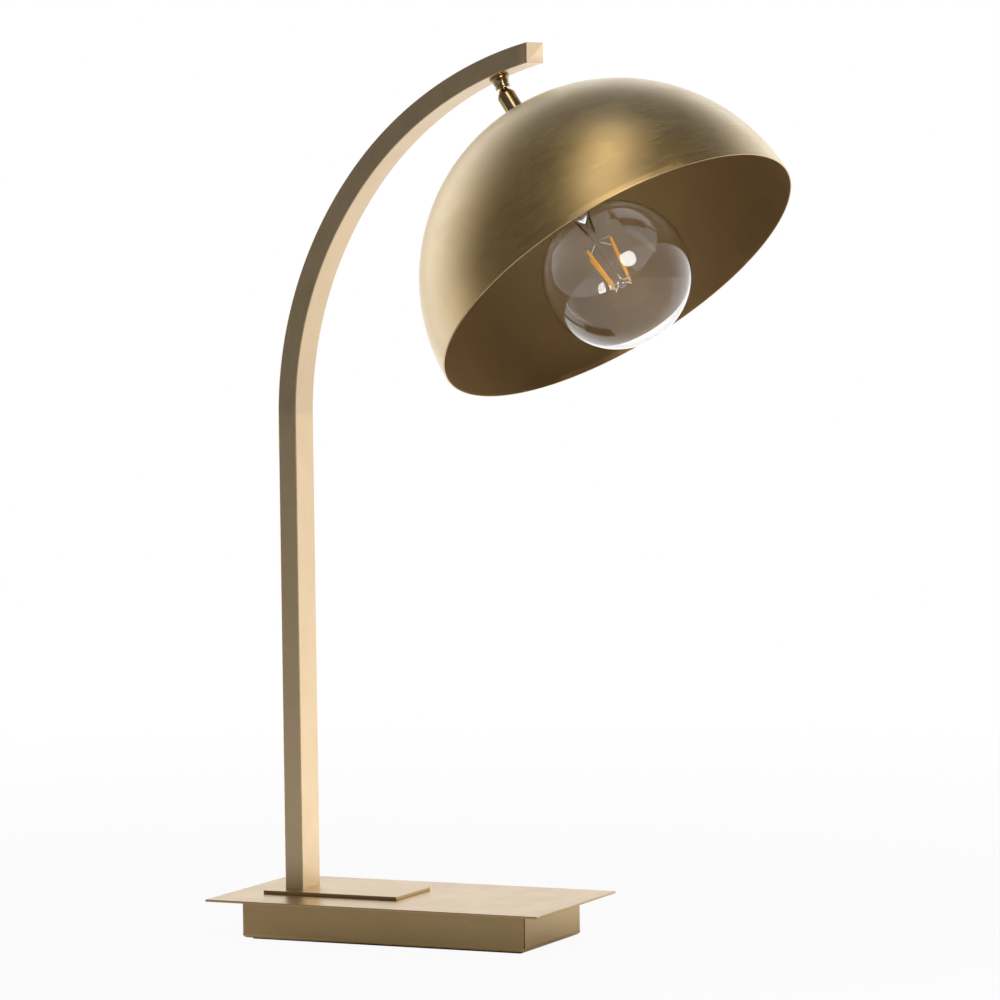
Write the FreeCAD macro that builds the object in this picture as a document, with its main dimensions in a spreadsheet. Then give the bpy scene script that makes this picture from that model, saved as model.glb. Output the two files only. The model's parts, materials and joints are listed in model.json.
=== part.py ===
import FreeCAD, Part
import math
import os
import Sketcher
from FreeCAD import Placement, Rotation, Vector

# A dome shade desk lamp in satin brass: a flat base with an overhanging top plate, a bent
# rectangular tube as its arm, and a hemispherical shade that hangs from a small ball joint.
# Millimetres, +Z up. The origin is the middle of the felt sheet that the base stands on,
# the arm curves towards +X, and the front of the lamp faces -Y.

DRIVING_SIZES = (
    # base
    ("pad_thick", 1.0, "felt sheet under the base"),
    ("pad_hole_room", 1.0, "room round a nut's head in the felt"),
    ("pad_inset", 5.0, "felt edge inside the box's edge"),
    ("box_long", 201.0, "folded box under the plate, along X"),
    ("box_wide", 87.5, "folded box, along Y"),
    ("box_high", 25.2, "folded box, along Z"),
    ("box_sheet", 1.2, "sheet of the folded box"),
    ("box_bend", 3.0, "outside radius of the box's lower folds"),
    ("seam_gap", 0.7, "open seam between two folded walls"),
    ("plate_long", 235.0, "top plate, along X"),
    ("plate_wide", 125.0, "top plate, along Y"),
    ("plate_thick", 1.5, "top plate"),
    ("foot_long", 96.0, "small plate under the arm, along X"),
    ("foot_wide", 51.0, "small plate, along Y"),
    ("foot_thick", 2.2, "small plate"),
    ("foot_middle", -46.2, "middle of the small plate, along X"),
    ("ballast_long", 170.0, "steel weight, along X"),
    ("ballast_wide", 66.0, "steel weight, along Y"),
    ("ballast_high", 12.0, "steel weight, along Z"),
    ("stud_place", 55.0, "plate stud from the middle, along X"),
    ("stud_side", 20.0, "plate stud from the middle, along Y"),
    ("plate_stud_rad", 2.5, "stud welded under the top plate"),
    ("stud_low", 7.0, "lower end of a plate stud above the box's bottom"),
    ("sleeve_bore_low", 6.0, "bottom of a sleeve nut's bore above the box's bottom"),
    ("sleeve_rad", 3.6, "barrel of the sleeve nut"),
    ("sleeve_head_rad", 6.0, "flat head of the sleeve nut"),
    ("sleeve_head_thick", 0.8, "flat head of the sleeve nut"),
    ("sleeve_long", 12.5, "barrel of the sleeve nut"),
    ("hole_slack", 0.15, "clear room round a screw or a sleeve"),
    ("inlet_place", 80.0, "cord inlet from the middle, along X"),
    ("inlet_high", 13.0, "cord inlet above the box's bottom"),
    ("inlet_bore_rad", 3.4, "bore of the cord grommet"),
    ("grommet_neck_rad", 5.0, "grommet where it passes the wall"),
    ("grommet_flange_rad", 6.5, "grommet flange"),
    ("grommet_flange_thick", 1.5, "grommet flange"),
    ("terminal_long", 22.0, "terminal block, along X"),
    ("terminal_wide", 16.0, "terminal block, along Y"),
    ("terminal_high", 7.0, "terminal block, along Z"),
    ("terminal_place", 60.0, "terminal block from the middle, along X"),
    ("terminal_well_rad", 2.0, "screw wells of the terminal block"),
    ("terminal_well_step", 4.5, "screw wells from the middle of the block"),
    # arm
    ("tube_deep", 12.7, "arm tube across the bend, half an inch"),
    ("tube_wide", 25.4, "arm tube along Y, one inch"),
    ("tube_wall", 1.2, "arm tube wall"),
    ("arm_place", -78.35, "middle of the upright, along X"),
    ("arm_straight", 337.4, "height where the arm starts to bend"),
    ("bend_low_rad", 250.0, "middle line of the first bend"),
    ("bend_low_turn", 38.2, "degrees of the first bend"),
    ("bend_high_rad", 221.5, "middle line of the second bend"),
    ("bend_high_turn", 80.0, "degrees where the second bend ends"),
    ("arm_end", 95.3, "upright cut at the arm's tip, along X"),
    ("cap_thick", 1.5, "plate that closes the arm's tip"),
    ("insert_high", 20.0, "steel insert in the arm's foot"),
    ("insert_slack", 0.1, "room round the insert"),
    ("arm_screw_place", 7.5, "foot screws from the middle, along Y"),
    ("arm_screw_rad", 2.5, "foot screws"),
    ("arm_screw_long", 18.0, "foot screws under the head"),
    ("arm_screw_head_rad", 4.3, "head of a foot screw"),
    ("arm_screw_head_high", 2.8, "head of a foot screw"),
    ("arm_screw_key_rad", 1.7, "hexagon socket in the head"),
    ("arm_screw_floor", 1.0, "metal left above the socket"),
    ("lead_rad", 1.1, "sleeved pair of wires inside the lamp"),
    ("lead_hole_rad", 2.2, "wire hole in plates and insert"),
    ("lead_turn_rad", 8.0, "turn of the wires into the arm"),
    ("lead_dip_rad", 3.0, "turn of the wires into the ball joint"),
    ("lead_gap", 0.3, "gap between two lengths of the wires"),
    # ball joint, measured from the middle of the ball
    ("joint_angle", 68.4, "degrees round the bend to the ball joint"),
    ("joint_drop", 12.5, "middle of the ball below the arm"),
    ("cup_top_rad", 6.5, "cup under the arm"),
    ("cup_low_rad", 4.9, "cup at its lower end"),
    ("cup_low", 6.9, "lower end of the cup"),
    ("cup_land", 1.4, "straight band at the top of the cup"),
    ("shaft_rad", 3.9, "turning shaft in the cup"),
    ("shaft_slack", 0.06, "running room round the shaft"),
    ("ring_rad", 4.9, "turned ring on the ball stud"),
    ("ring_low", 4.4, "lower face of the ring"),
    ("ring_high", 6.3, "upper face of the ring"),
    ("neck_rad", 2.4, "neck between ring and ball"),
    ("ball_rad", 4.6, "ball"),
    ("ball_slack", 0.06, "running room round the ball"),
    ("ball_bore_rad", 1.5, "wire bore through the ball stud"),
    ("ball_lead_low", -4.2, "lower end of the wires in the ball"),
    ("stud_top", 17.0, "upper end of the ball stud"),
    ("stud_nut_high", 3.0, "nut inside the arm"),
    ("stud_nut_rad", 6.6, "nut inside the arm, over its corners"),
    ("barrel_rad", 6.1, "barrel that holds the ball"),
    ("barrel_top", 1.5, "upper end of the barrel"),
    ("barrel_top_rad", 4.75, "barrel at its upper end"),
    ("barrel_cone", 2.6, "height of the barrel's cone"),
    ("barrel_bore_rad", 5.1, "bore that holds the seat"),
    ("barrel_bore_over", 0.8, "that bore above the seat"),
    ("barrel_skirt", 0.3, "barrel past the top of the dome, cut to the dome's curve"),
    ("seat_rad", 5.0, "seat under the ball"),
    ("seat_bore_rad", 2.5, "wire bore of the seat"),
    ("seat_top", -1.0, "upper end of the seat"),
    ("seat_low", -6.2, "lower end of the seat"),
    ("washer_low", -7.6, "lower end of the spring washer"),
    ("washer_wall", 0.8, "sheet of the spring washer"),
    ("nipple_rad", 4.95, "threaded tube, ten millimetres"),
    ("nipple_bore_rad", 3.5, "bore of the threaded tube"),
    ("nipple_top", -7.8, "upper end of the threaded tube"),
    ("nipple_low", -37.0, "lower end of the threaded tube"),
    # shade
    ("shade_tilt", 36.7, "degrees that the shade leans towards +X"),
    ("shade_turn", 8.8, "degrees that the shade leans towards the front"),
    ("dome_rad", 125.0, "outside of the dome"),
    ("dome_wall", 0.9, "sheet of the dome"),
    ("dome_drop", 21.2, "top of the dome below the ball"),
    ("shade_washer_rad", 11.0, "washer inside the dome"),
    ("shade_washer_thick", 1.2, "washer inside the dome"),
    ("shade_washer_drop", 0.6, "washer below the top of the dome's inside"),
    ("shade_nut_rad", 8.1, "nut inside the dome, over its corners"),
    ("shade_nut_high", 4.0, "nut inside the dome"),
    # lampholder, measured from the middle of the ball
    ("holder_rad", 19.5, "lampholder"),
    ("holder_wall", 1.6, "lampholder shell"),
    ("holder_top", -29.0, "upper end of the lampholder"),
    ("holder_split", -46.0, "seam between its cap and its body"),
    ("holder_low", -77.5, "mouth of the lampholder"),
    ("holder_top_rad", 11.0, "lampholder cap at its top"),
    ("core_rad", 17.6, "porcelain core"),
    ("core_top", -38.5, "upper face of the core"),
    ("core_low", -50.5, "lower face of the core"),
    ("core_step", 0.3, "shoulder of the core below the holder's seam"),
    ("thread_shell_rad", 14.1, "screw shell outside"),
    ("thread_shell_wall", 0.4, "screw shell"),
    ("thread_shell_lift", 0.2, "screw shell above the holder's lip"),
    ("mouth_rad", 14.6, "mouth of the lampholder"),
    ("tongue_rad", 3.2, "contact tongue"),
    ("tongue_thick", 0.6, "contact tongue"),
    # bulb, measured from the middle of its globe
    ("globe_rad", 47.0, "glass globe"),
    ("globe_back", 2.7, "middle of the globe inside the dome's rim"),
    ("glass_wall", 0.8, "glass"),
    ("glass_neck_rad", 16.4, "neck of the glass"),
    ("glass_fillet_rad", 20.0, "hollow curve between globe and neck"),
    ("glass_neck_end", 61.0, "where the neck starts to close in"),
    ("glass_shoulder", 64.4, "where the glass enters the cap"),
    ("glass_tail_rad", 12.5, "glass inside the cap"),
    ("glass_end", 66.8, "end of the glass in the cap"),
    ("cap_rad", 13.2, "bulb cap, twenty-seven millimetre thread"),
    ("cap_wall", 0.3, "bulb cap"),
    ("cap_start", 64.6, "open end of the bulb cap"),
    ("cap_end", 85.0, "end of the bulb cap's thread"),
    ("cap_collar", 2.0, "plain collar before the thread"),
    ("cap_taper", 1.0, "how far the cap's end draws in"),
    ("tip_rad", 4.6, "centre contact of the bulb"),
    ("tip_start", 89.0, "centre contact of the bulb"),
    ("tip_end", 91.0, "end of the bulb"),
    ("insulator_rim", 0.6, "black glass round the centre contact"),
    ("thread_pitch", 3.63, "pitch of the bulb's thread"),
    ("thread_deep", 0.55, "depth of the rolled thread"),
    ("stem_rad", 2.7, "glass stem"),
    ("stem_tip", -9.8, "end of the stem"),
    ("stem_press", 34.0, "pinch where the wires enter the glass"),
    ("stem_flare", 66.0, "wide end of the stem"),
    ("stem_flare_rad", 11.65, "wide end of the stem"),
    ("filament_rad", 0.9, "one filament"),
    ("filament_top", 21.6, "upper ends of the filaments"),
    ("filament_low", -7.5, "lower ends of the filaments"),
    ("filament_top_rad", 12.2, "circle of the upper ends"),
    ("filament_low_rad", 7.6, "circle of the lower ends"),
    ("filament_turn", -20.5, "degrees from the shade's side to the first filament"),
    ("wire_rad", 0.25, "support wires"),
    ("wire_stub", 0.8, "straight end of a wire at its filament"),
    ("wire_hold", 25.5, "where the upper wires meet the stem"),
    ("wire_foot", -5.8, "where the lower wires meet the stem"),
    ("wire_gap", 0.1, "gap between a wire and the stem"),
)
FILAMENT_COUNT = 4
HALF_TURN = 180.0
QUARTER_TURN = 90.0
EIGHTH_TURN = 45.0
OVERCUT = 1.0  # how far a cutting tool runs past the face that it opens
FACE_GAP = 0.1  # between a curved or slanted face and the face that it rests on
TOUCH_GAP = 0.01  # between two faces that touch

doc = FreeCAD.newDocument("dome_shade_desk_lamp")
nodes = []


def make_sheet():
    """Writes the driving sizes into the document's spreadsheet."""
    sheet = doc.addObject("Spreadsheet::Sheet", "Sizes")
    for row, (name, value, meaning) in enumerate(DRIVING_SIZES, start=1):
        sheet.set(f"A{row}", str(value))
        sheet.setAlias(f"A{row}", name)
        sheet.set(f"B{row}", meaning)
    doc.recompute()
    return sheet


sheet = make_sheet()


class Size:
    """A number together with the spreadsheet formula that gives it."""

    def __init__(self, value, formula):
        self.value = value
        self.formula = formula

    def combined(self, other, sign, value):
        right = other.formula if isinstance(other, Size) else repr(other)
        return Size(value, f"({self.formula} {sign} {right})")

    def __add__(self, other):
        return self.combined(other, "+", self.value + float(other))

    def __sub__(self, other):
        return self.combined(other, "-", self.value - float(other))

    def __mul__(self, other):
        return self.combined(other, "*", self.value * float(other))

    def __truediv__(self, other):
        return self.combined(other, "/", self.value / float(other))

    def __neg__(self):
        return Size(-self.value, f"(-1 * {self.formula})")

    def __float__(self):
        return float(self.value)


class Sizes:
    """Gives each cell of the sheet by its alias."""

    def __getattr__(self, name):
        return Size(float(sheet.get(name)), f"Sizes.{name}")


S = Sizes()
ZERO = Size(0.0, "0")


def bind(thing, **formulas):
    """Ties properties of an object to the sheet."""
    for name, size in formulas.items():
        thing.setExpression(name.replace("__", "."), size.formula)
    return thing


def at(thing, x=ZERO, y=ZERO, z=ZERO):
    """Ties an object's place to the sheet."""
    return bind(thing, Placement__Base__x=x, Placement__Base__y=y, Placement__Base__z=z)


def node(thing, label):
    """Registers a finished sub-part under the name that its file gets."""
    thing.Label = label
    nodes.append(thing)
    return thing


# ---- simple solids, with z from the lower face -------------------------------------------


def cylinder(radius, low, high, x=ZERO, y=ZERO):
    thing = doc.addObject("Part::Cylinder", "round_bar")
    bind(thing, Radius=radius, Height=high - low)
    return at(thing, x, y, low)


def cone(low_radius, high_radius, low, high):
    thing = doc.addObject("Part::Cone", "cone")
    bind(thing, Radius1=low_radius, Radius2=high_radius, Height=high - low)
    return at(thing, z=low)


def ball(radius, z=ZERO):
    thing = doc.addObject("Part::Sphere", "ball")
    bind(thing, Radius=radius)
    return at(thing, z=z)


def block(long, wide, low, high, x=ZERO, y=ZERO):
    thing = doc.addObject("Part::Box", "block")
    bind(thing, Length=long, Width=wide, Height=high - low)
    return at(thing, x - long / 2, y - wide / 2, low)


def hexagon(radius, low, high):
    thing = doc.addObject("Part::Prism", "hexagon")
    thing.Polygon = 6
    bind(thing, Circumradius=radius, Height=high - low)
    return at(thing, z=low)


def cut(base, *tools):
    """Takes the tools away from the base, one after the other."""
    for tool in tools:
        thing = doc.addObject("Part::Cut", "cut")
        thing.Base = base
        thing.Tool = tool
        base = thing
    return base


def fuse(*shapes):
    thing = doc.addObject("Part::MultiFuse", "fused")
    thing.Shapes = list(shapes)
    return thing


def placed(thing, frame):
    """The same solid, moved into another frame."""
    group = doc.addObject("Part::Compound", "placed")
    group.Links = [thing]
    group.Placement = frame
    return group


def shaped(label, shape, placement=None):
    """A sub-part whose shape is worked out here, from the sheet's sizes."""
    thing = doc.addObject("Part::Feature", "shaped")
    thing.Shape = shape
    if placement:
        thing.Placement = placement
    return node(thing, label)


# ---- bodies from sketches ----------------------------------------------------------------


def new_body(name):
    return doc.addObject("PartDesign::Body", name)


def sketch_on(body, plane, name, offset=ZERO):
    """An empty sketch on one of the body's own origin planes."""
    sketch = body.newObject("Sketcher::SketchObject", name)
    support = [o for o in body.Origin.OriginFeatures if o.Role == plane][0]
    sketch.AttachmentSupport = [(support, "")]
    sketch.MapMode = "FlatFace"
    sketch.setExpression("AttachmentOffset.Base.z", offset.formula)
    return sketch


def constrain(sketch, kind, *where, size=None):
    """Adds a constraint, tied to the sheet where it has a size."""
    if size is None:
        return sketch.addConstraint(Sketcher.Constraint(kind, *where))
    index = sketch.addConstraint(Sketcher.Constraint(kind, *where, size.value))
    sketch.setExpression(f"Constraints[{index}]", size.formula)
    return index


def rectangle(sketch, long, wide, x=ZERO, y=ZERO):
    """A rectangle of the given size about (x, y), tied to the sheet."""
    left, right = (x - long / 2), (x + long / 2)
    front, rear = (y - wide / 2), (y + wide / 2)
    corners = [(left, front), (right, front), (right, rear), (left, rear)]
    points = [Vector(float(a), float(b), 0) for a, b in corners]
    lines = [
        sketch.addGeometry(Part.LineSegment(points[i], points[(i + 1) % 4]), False) for i in range(4)
    ]
    for i in range(4):
        constrain(sketch, "Coincident", lines[i], 2, lines[(i + 1) % 4], 1)
    constrain(sketch, "Horizontal", lines[0])
    constrain(sketch, "Horizontal", lines[2])
    constrain(sketch, "Vertical", lines[1])
    constrain(sketch, "Vertical", lines[3])
    origin = (-1, 1)
    constrain(sketch, "DistanceX", *origin, lines[0], 1, size=left)
    constrain(sketch, "DistanceY", *origin, lines[0], 1, size=front)
    constrain(sketch, "DistanceX", *origin, lines[1], 2, size=right)
    constrain(sketch, "DistanceY", *origin, lines[1], 2, size=rear)
    return lines


def circle(sketch, radius, x=ZERO, y=ZERO):
    outline = Part.Circle(Vector(float(x), float(y), 0), Vector(0, 0, 1), float(radius))
    ring = sketch.addGeometry(outline, False)
    constrain(sketch, "DistanceX", -1, 1, ring, 3, size=x)
    constrain(sketch, "DistanceY", -1, 1, ring, 3, size=y)
    constrain(sketch, "Radius", ring, size=radius)
    return ring


def pad(body, sketch, height):
    thing = body.newObject("PartDesign::Pad", "Pad")
    thing.Profile = sketch
    return bind(thing, Length=height)


def pocket_through(body, sketch):
    """Cuts the sketch through the whole body, both ways."""
    doc.recompute()
    before = body.Shape.Volume
    thing = body.newObject("PartDesign::Pocket", "Pocket")
    thing.Profile = sketch
    thing.Type = "ThroughAll"
    thing.Midplane = True
    doc.recompute()
    if body.Shape.Volume >= before:
        raise RuntimeError(f"a pocket in {body.Name} cut nothing")
    return thing


def flat_plate(name, long, wide, low, high, holes, x=ZERO):
    """A rectangular plate with round holes, each hole given as (radius, x, y)."""
    body = new_body(name)
    outline = sketch_on(body, "XY_Plane", f"{name}_outline", low)
    rectangle(outline, long, wide, x)
    pad(body, outline, high - low)
    if holes:
        hole_sketch = sketch_on(body, "XY_Plane", f"{name}_holes", low)
        for radius, hole_x, hole_y in holes:
            circle(hole_sketch, radius, hole_x, hole_y)
        pocket_through(body, hole_sketch)
    return node(body, name)


def fillet(body, radius, chosen):
    """Rounds the edges of the body that the test picks."""
    doc.recompute()
    tip = body.Tip
    names = [f"Edge{i}" for i, edge in enumerate(tip.Shape.Edges, start=1) if chosen(edge)]
    thing = body.newObject("PartDesign::Fillet", "Fillet")
    thing.Base = (tip, names)
    return bind(thing, Radius=radius)


# ---- levels and places that several sub-parts share ---------------------------------------

box_bottom = S.pad_thick
box_floor = box_bottom + S.box_sheet
box_top = box_bottom + S.box_high
plate_top = box_top + S.plate_thick
foot_top = plate_top + S.foot_thick
ballast_top = box_floor + S.ballast_high
inlet_level = box_bottom + S.inlet_high
lead_level = ballast_top + S.terminal_high / 2
stud_places = ((-S.stud_place, S.stud_side), (S.stud_place, -S.stud_side))
screw_places = (-S.arm_screw_place, S.arm_screw_place)


def bend_points():
    """The centres of the arm's two bends, in the plane of the arm, as (x, z)."""
    turn = math.radians(float(S.bend_low_turn))
    first = (float(S.arm_place + S.bend_low_rad), float(S.arm_straight))
    change = float(S.bend_high_rad - S.bend_low_rad)
    second = (first[0] + change * math.cos(turn), first[1] - change * math.sin(turn))
    return first, second


def joint_place():
    """The middle of the ball, and the direction from it up to the arm."""
    angle = math.radians(float(S.joint_angle))
    _, centre = bend_points()
    outward = Vector(-math.cos(angle), 0, math.sin(angle))
    reach = float(S.bend_high_rad - S.tube_deep / 2 - S.joint_drop)
    return Vector(centre[0], 0, centre[1]) + outward * reach, outward


def shade_direction():
    """The way that the shade's mouth faces."""
    tilt = math.radians(float(S.shade_tilt))
    turn = math.radians(float(S.shade_turn))
    return Vector(
        math.sin(tilt) * math.cos(turn), -math.sin(turn), -math.cos(tilt) * math.cos(turn)
    )


def frame_along(place, up):
    """A placement with its origin at place and its Z axis along up, X in the arm's plane."""
    side = Vector(0, 1, 0).cross(up).normalize()
    third = up.cross(side)
    return Placement(place, Rotation(side, third, up, "ZXY"))


ball_middle, stud_up = joint_place()
STUD_FRAME = frame_along(ball_middle, stud_up)
SHADE_FRAME = frame_along(ball_middle, shade_direction().negative())


# ---- base --------------------------------------------------------------------------------


def build_base():
    pad_holes = [(S.sleeve_head_rad + S.pad_hole_room, x, y) for x, y in stud_places]
    flat_plate(
        "base_pad", S.box_long - S.pad_inset * 2, S.box_wide - S.pad_inset * 2, ZERO, S.pad_thick, pad_holes
    )
    build_base_box()
    wire_hole = (S.lead_hole_rad, S.arm_place, ZERO)
    screw_holes = [(S.arm_screw_rad + S.hole_slack, S.arm_place, y) for y in screw_places]
    flat_plate("base_top_plate", S.plate_long, S.plate_wide, box_top, plate_top, [wire_hole, *screw_holes])
    flat_plate(
        "foot_plate", S.foot_long, S.foot_wide, plate_top, foot_top, [wire_hole, *screw_holes], S.foot_middle
    )
    sleeve_holes = [(S.sleeve_rad + S.hole_slack, x, y) for x, y in stud_places]
    flat_plate("ballast_weight", S.ballast_long, S.ballast_wide, box_floor, ballast_top, sleeve_holes)
    build_base_fasteners()
    build_cord_grommet()
    terminal = block(
        S.terminal_long, S.terminal_wide, ballast_top, ballast_top + S.terminal_high, S.terminal_place
    )
    screw_wells = [
        cylinder(S.terminal_well_rad, ballast_top + S.terminal_high / 2, box_top, S.terminal_place + dx, dy)
        for dx in (-S.terminal_well_step, S.terminal_well_step)
        for dy in (-S.terminal_well_step, S.terminal_well_step)
    ]
    node(cut(terminal, *screw_wells), "terminal_block")


def build_base_box():
    """A pan folded from one sheet: the walls stand on rounded folds, with open corner seams."""
    body = new_body("folded_box")
    outline = sketch_on(body, "XY_Plane", "box_outline", box_bottom)
    rectangle(outline, S.box_long, S.box_wide)
    pad(body, outline, S.box_high)
    low = float(box_bottom)
    fillet(body, S.box_bend, lambda edge: max(v.Z for v in edge.Vertexes) < low + 0.01)
    inside = sketch_on(body, "XY_Plane", "box_inside", box_floor)
    rectangle(inside, S.box_long - S.box_sheet * 2, S.box_wide - S.box_sheet * 2)
    doc.recompute()
    hollow = body.newObject("PartDesign::Pocket", "Hollow")
    hollow.Profile = inside
    hollow.Reversed = True
    bind(hollow, Length=S.box_high)
    sleeve_holes = sketch_on(body, "XY_Plane", "sleeve_holes", box_bottom)
    for x, y in stud_places:
        circle(sleeve_holes, S.sleeve_rad + S.hole_slack, x, y)
    pocket_through(body, sleeve_holes)
    inlet = cylinder(S.grommet_neck_rad, ZERO, S.box_wide)
    inlet.Placement.Rotation = Rotation(Vector(1, 0, 0), -QUARTER_TURN)
    at(inlet, S.inlet_place, ZERO, inlet_level)
    seams = [corner_seam(x_side, y_side) for x_side in (-1, 1) for y_side in (-1, 1)]
    node(cut(body, inlet, *seams), "base_box")


def corner_seam(x_side, y_side):
    """A thin upright blade through one corner of the box, along its diagonal."""
    reach = S.box_bend
    blade = doc.addObject("Part::Box", "seam")
    bind(blade, Length=reach * 2, Width=S.seam_gap, Height=S.box_high)
    turn = Rotation(Vector(0, 0, 1), EIGHTH_TURN * x_side * y_side)
    half_long, half_wide = float(S.box_long) / 2, float(S.box_wide) / 2
    corner = Vector(x_side * half_long, y_side * half_wide, float(box_bottom + S.box_bend))
    middle = Vector(float(reach), float(S.seam_gap) / 2, 0)
    blade.Placement = Placement(corner - turn.multVec(middle), turn)
    return blade


def build_base_fasteners():
    studs = [cylinder(S.plate_stud_rad, box_bottom + S.stud_low, box_top, x, y) for x, y in stud_places]
    node(fuse(*studs), "plate_studs")
    nuts = []
    for x, y in stud_places:
        barrel = cylinder(S.sleeve_rad, box_bottom, box_bottom + S.sleeve_long, x, y)
        head = cylinder(S.sleeve_head_rad, box_bottom - S.sleeve_head_thick, box_bottom, x, y)
        bore = cylinder(S.plate_stud_rad, box_bottom + S.sleeve_bore_low, box_top, x, y)
        nuts.append(cut(fuse(barrel, head), bore))
    node(fuse(*nuts), "sleeve_nuts")


def build_cord_grommet():
    """A rubber grommet in the rear wall, where the mains cord comes in."""
    wall = S.box_sheet
    flange = S.grommet_flange_thick
    neck = cylinder(S.grommet_neck_rad, -flange, wall + flange)
    outer = cylinder(S.grommet_flange_rad, wall, wall + flange)
    inner = cylinder(S.grommet_flange_rad, -flange, ZERO)
    bore = cylinder(S.inlet_bore_rad, -flange * 2, wall + flange * 2)
    grommet = cut(fuse(neck, outer, inner), bore)
    grommet.Placement.Rotation = Rotation(Vector(1, 0, 0), -QUARTER_TURN)
    at(grommet, S.inlet_place, S.box_wide / 2 - wall, inlet_level)
    node(grommet, "cord_grommet")


# ---- arm ---------------------------------------------------------------------------------


def arm_path(body):
    """The middle line of the arm: an upright and two tangent bends."""
    path = sketch_on(body, "XZ_Plane", f"{body.Name}_path")
    first, second = bend_points()
    start = Vector(float(S.arm_place), float(foot_top), 0)
    rise = Vector(float(S.arm_place), float(S.arm_straight), 0)
    low_rad, high_rad = float(S.bend_low_rad), float(S.bend_high_rad)
    half = math.pi
    turn = math.radians(float(S.bend_low_turn))
    end = math.radians(float(S.bend_high_turn))
    axis = Vector(0, 0, 1)
    upright = path.addGeometry(Part.LineSegment(start, rise), False)
    low_circle = Part.Circle(Vector(first[0], first[1], 0), axis, low_rad)
    high_circle = Part.Circle(Vector(second[0], second[1], 0), axis, high_rad)
    low_bend = path.addGeometry(Part.ArcOfCircle(low_circle, half - turn, half), False)
    high_bend = path.addGeometry(Part.ArcOfCircle(high_circle, half - end, half - turn), False)
    constrain(path, "Vertical", upright)
    constrain(path, "DistanceX", -1, 1, upright, 1, size=S.arm_place)
    constrain(path, "DistanceY", -1, 1, upright, 1, size=foot_top)
    constrain(path, "DistanceY", -1, 1, upright, 2, size=S.arm_straight)
    constrain(path, "Tangent", upright, 2, low_bend, 2)
    constrain(path, "Tangent", low_bend, 1, high_bend, 2)
    constrain(path, "Radius", low_bend, size=S.bend_low_rad)
    constrain(path, "Radius", high_bend, size=S.bend_high_rad)
    return path


def swept_bar(name, across, along, hollow_wall=None):
    """A bar of rectangular section along the arm's middle line, hollow where a wall is given."""
    body = new_body(name)
    path = arm_path(body)
    outline = sketch_on(body, "XY_Plane", f"{name}_section", foot_top)
    rectangle(outline, across, along, S.arm_place)
    doc.recompute()
    pipe = body.newObject("PartDesign::AdditivePipe", "Bar")
    pipe.Profile = outline
    pipe.Spine = (path, ["Edge1", "Edge2", "Edge3"])
    doc.recompute()
    if hollow_wall is not None:
        inside = sketch_on(body, "XY_Plane", f"{name}_bore", foot_top)
        rectangle(inside, across - hollow_wall * 2, along - hollow_wall * 2, S.arm_place)
        doc.recompute()
        bore = body.newObject("PartDesign::SubtractivePipe", "Bore")
        bore.Profile = inside
        bore.Spine = (path, ["Edge1", "Edge2", "Edge3"])
        doc.recompute()
    return body


def beyond_tip(start):
    """Everything past an upright plane near the arm's tip."""
    room = S.tube_wide * 4
    return block(room, room, S.arm_straight, S.arm_straight + S.bend_high_rad * 2, start + room / 2)


def build_arm():
    tube = swept_bar("arm_bar", S.tube_deep, S.tube_wide, S.tube_wall)
    inner_face = S.joint_drop + S.tube_wall
    stud_hole = cylinder(
        S.shaft_rad + S.shaft_slack, S.joint_drop - OVERCUT * 3, inner_face + OVERCUT * 3
    )
    node(cut(tube, beyond_tip(S.arm_end - S.cap_thick), placed(stud_hole, STUD_FRAME)), "arm_tube")
    solid_bar = swept_bar("arm_bar_outline", S.tube_deep, S.tube_wide)
    slab = block(
        S.cap_thick,
        S.tube_wide * 2,
        S.arm_straight,
        S.arm_straight + S.bend_high_rad * 2,
        S.arm_end - S.cap_thick / 2,
    )
    tip = doc.addObject("Part::Common", "tip")
    tip.Base = solid_bar
    tip.Tool = slab
    node(tip, "arm_end_cap")
    build_arm_foot()


def build_arm_foot():
    inside_deep = S.tube_deep - S.tube_wall * 2 - S.insert_slack * 2
    inside_wide = S.tube_wide - S.tube_wall * 2 - S.insert_slack * 2
    top = foot_top + S.insert_high
    insert = block(inside_deep, inside_wide, foot_top, top, S.arm_place)
    wire_hole = cylinder(S.lead_hole_rad, foot_top - OVERCUT, top + OVERCUT, S.arm_place)
    taps = [
        cylinder(S.arm_screw_rad, foot_top - OVERCUT, top + OVERCUT, S.arm_place, y)
        for y in screw_places
    ]
    node(cut(insert, wire_hole, *taps), "arm_foot_insert")
    screws = []
    for y in screw_places:
        shank = cylinder(S.arm_screw_rad, box_top, box_top + S.arm_screw_long, S.arm_place, y)
        head = cylinder(S.arm_screw_head_rad, box_top - S.arm_screw_head_high, box_top, S.arm_place, y)
        socket = hexagon(S.arm_screw_key_rad, box_top - S.arm_screw_head_high, box_top - S.arm_screw_floor)
        at(socket, S.arm_place, y, box_top - S.arm_screw_head_high)
        screws.append(cut(fuse(shank, head), socket))
    node(fuse(*screws), "arm_screws")


def swept_round(radius, edges):
    """A round bar of the given radius along tangent edges."""
    wire = Part.Wire(edges)
    start = edges[0].firstVertex().Point
    towards = edges[0].tangentAt(edges[0].FirstParameter)
    section = Part.Wire([Part.Circle(start, towards, radius).toShape()])
    return wire.makePipeShell([section], True, False)


def arc_through(centre, radius, start_angle, turn):
    """An arc in the arm's plane from start_angle, turning clockwise by turn, in degrees."""

    def point(angle):
        a = math.radians(angle)
        return Vector(centre[0] + radius * math.cos(a), 0, centre[1] + radius * math.sin(a))

    ends = [point(start_angle - turn * share) for share in (0, 0.5, 1)]
    return Part.Arc(*ends).toShape(), ends[2]


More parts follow.
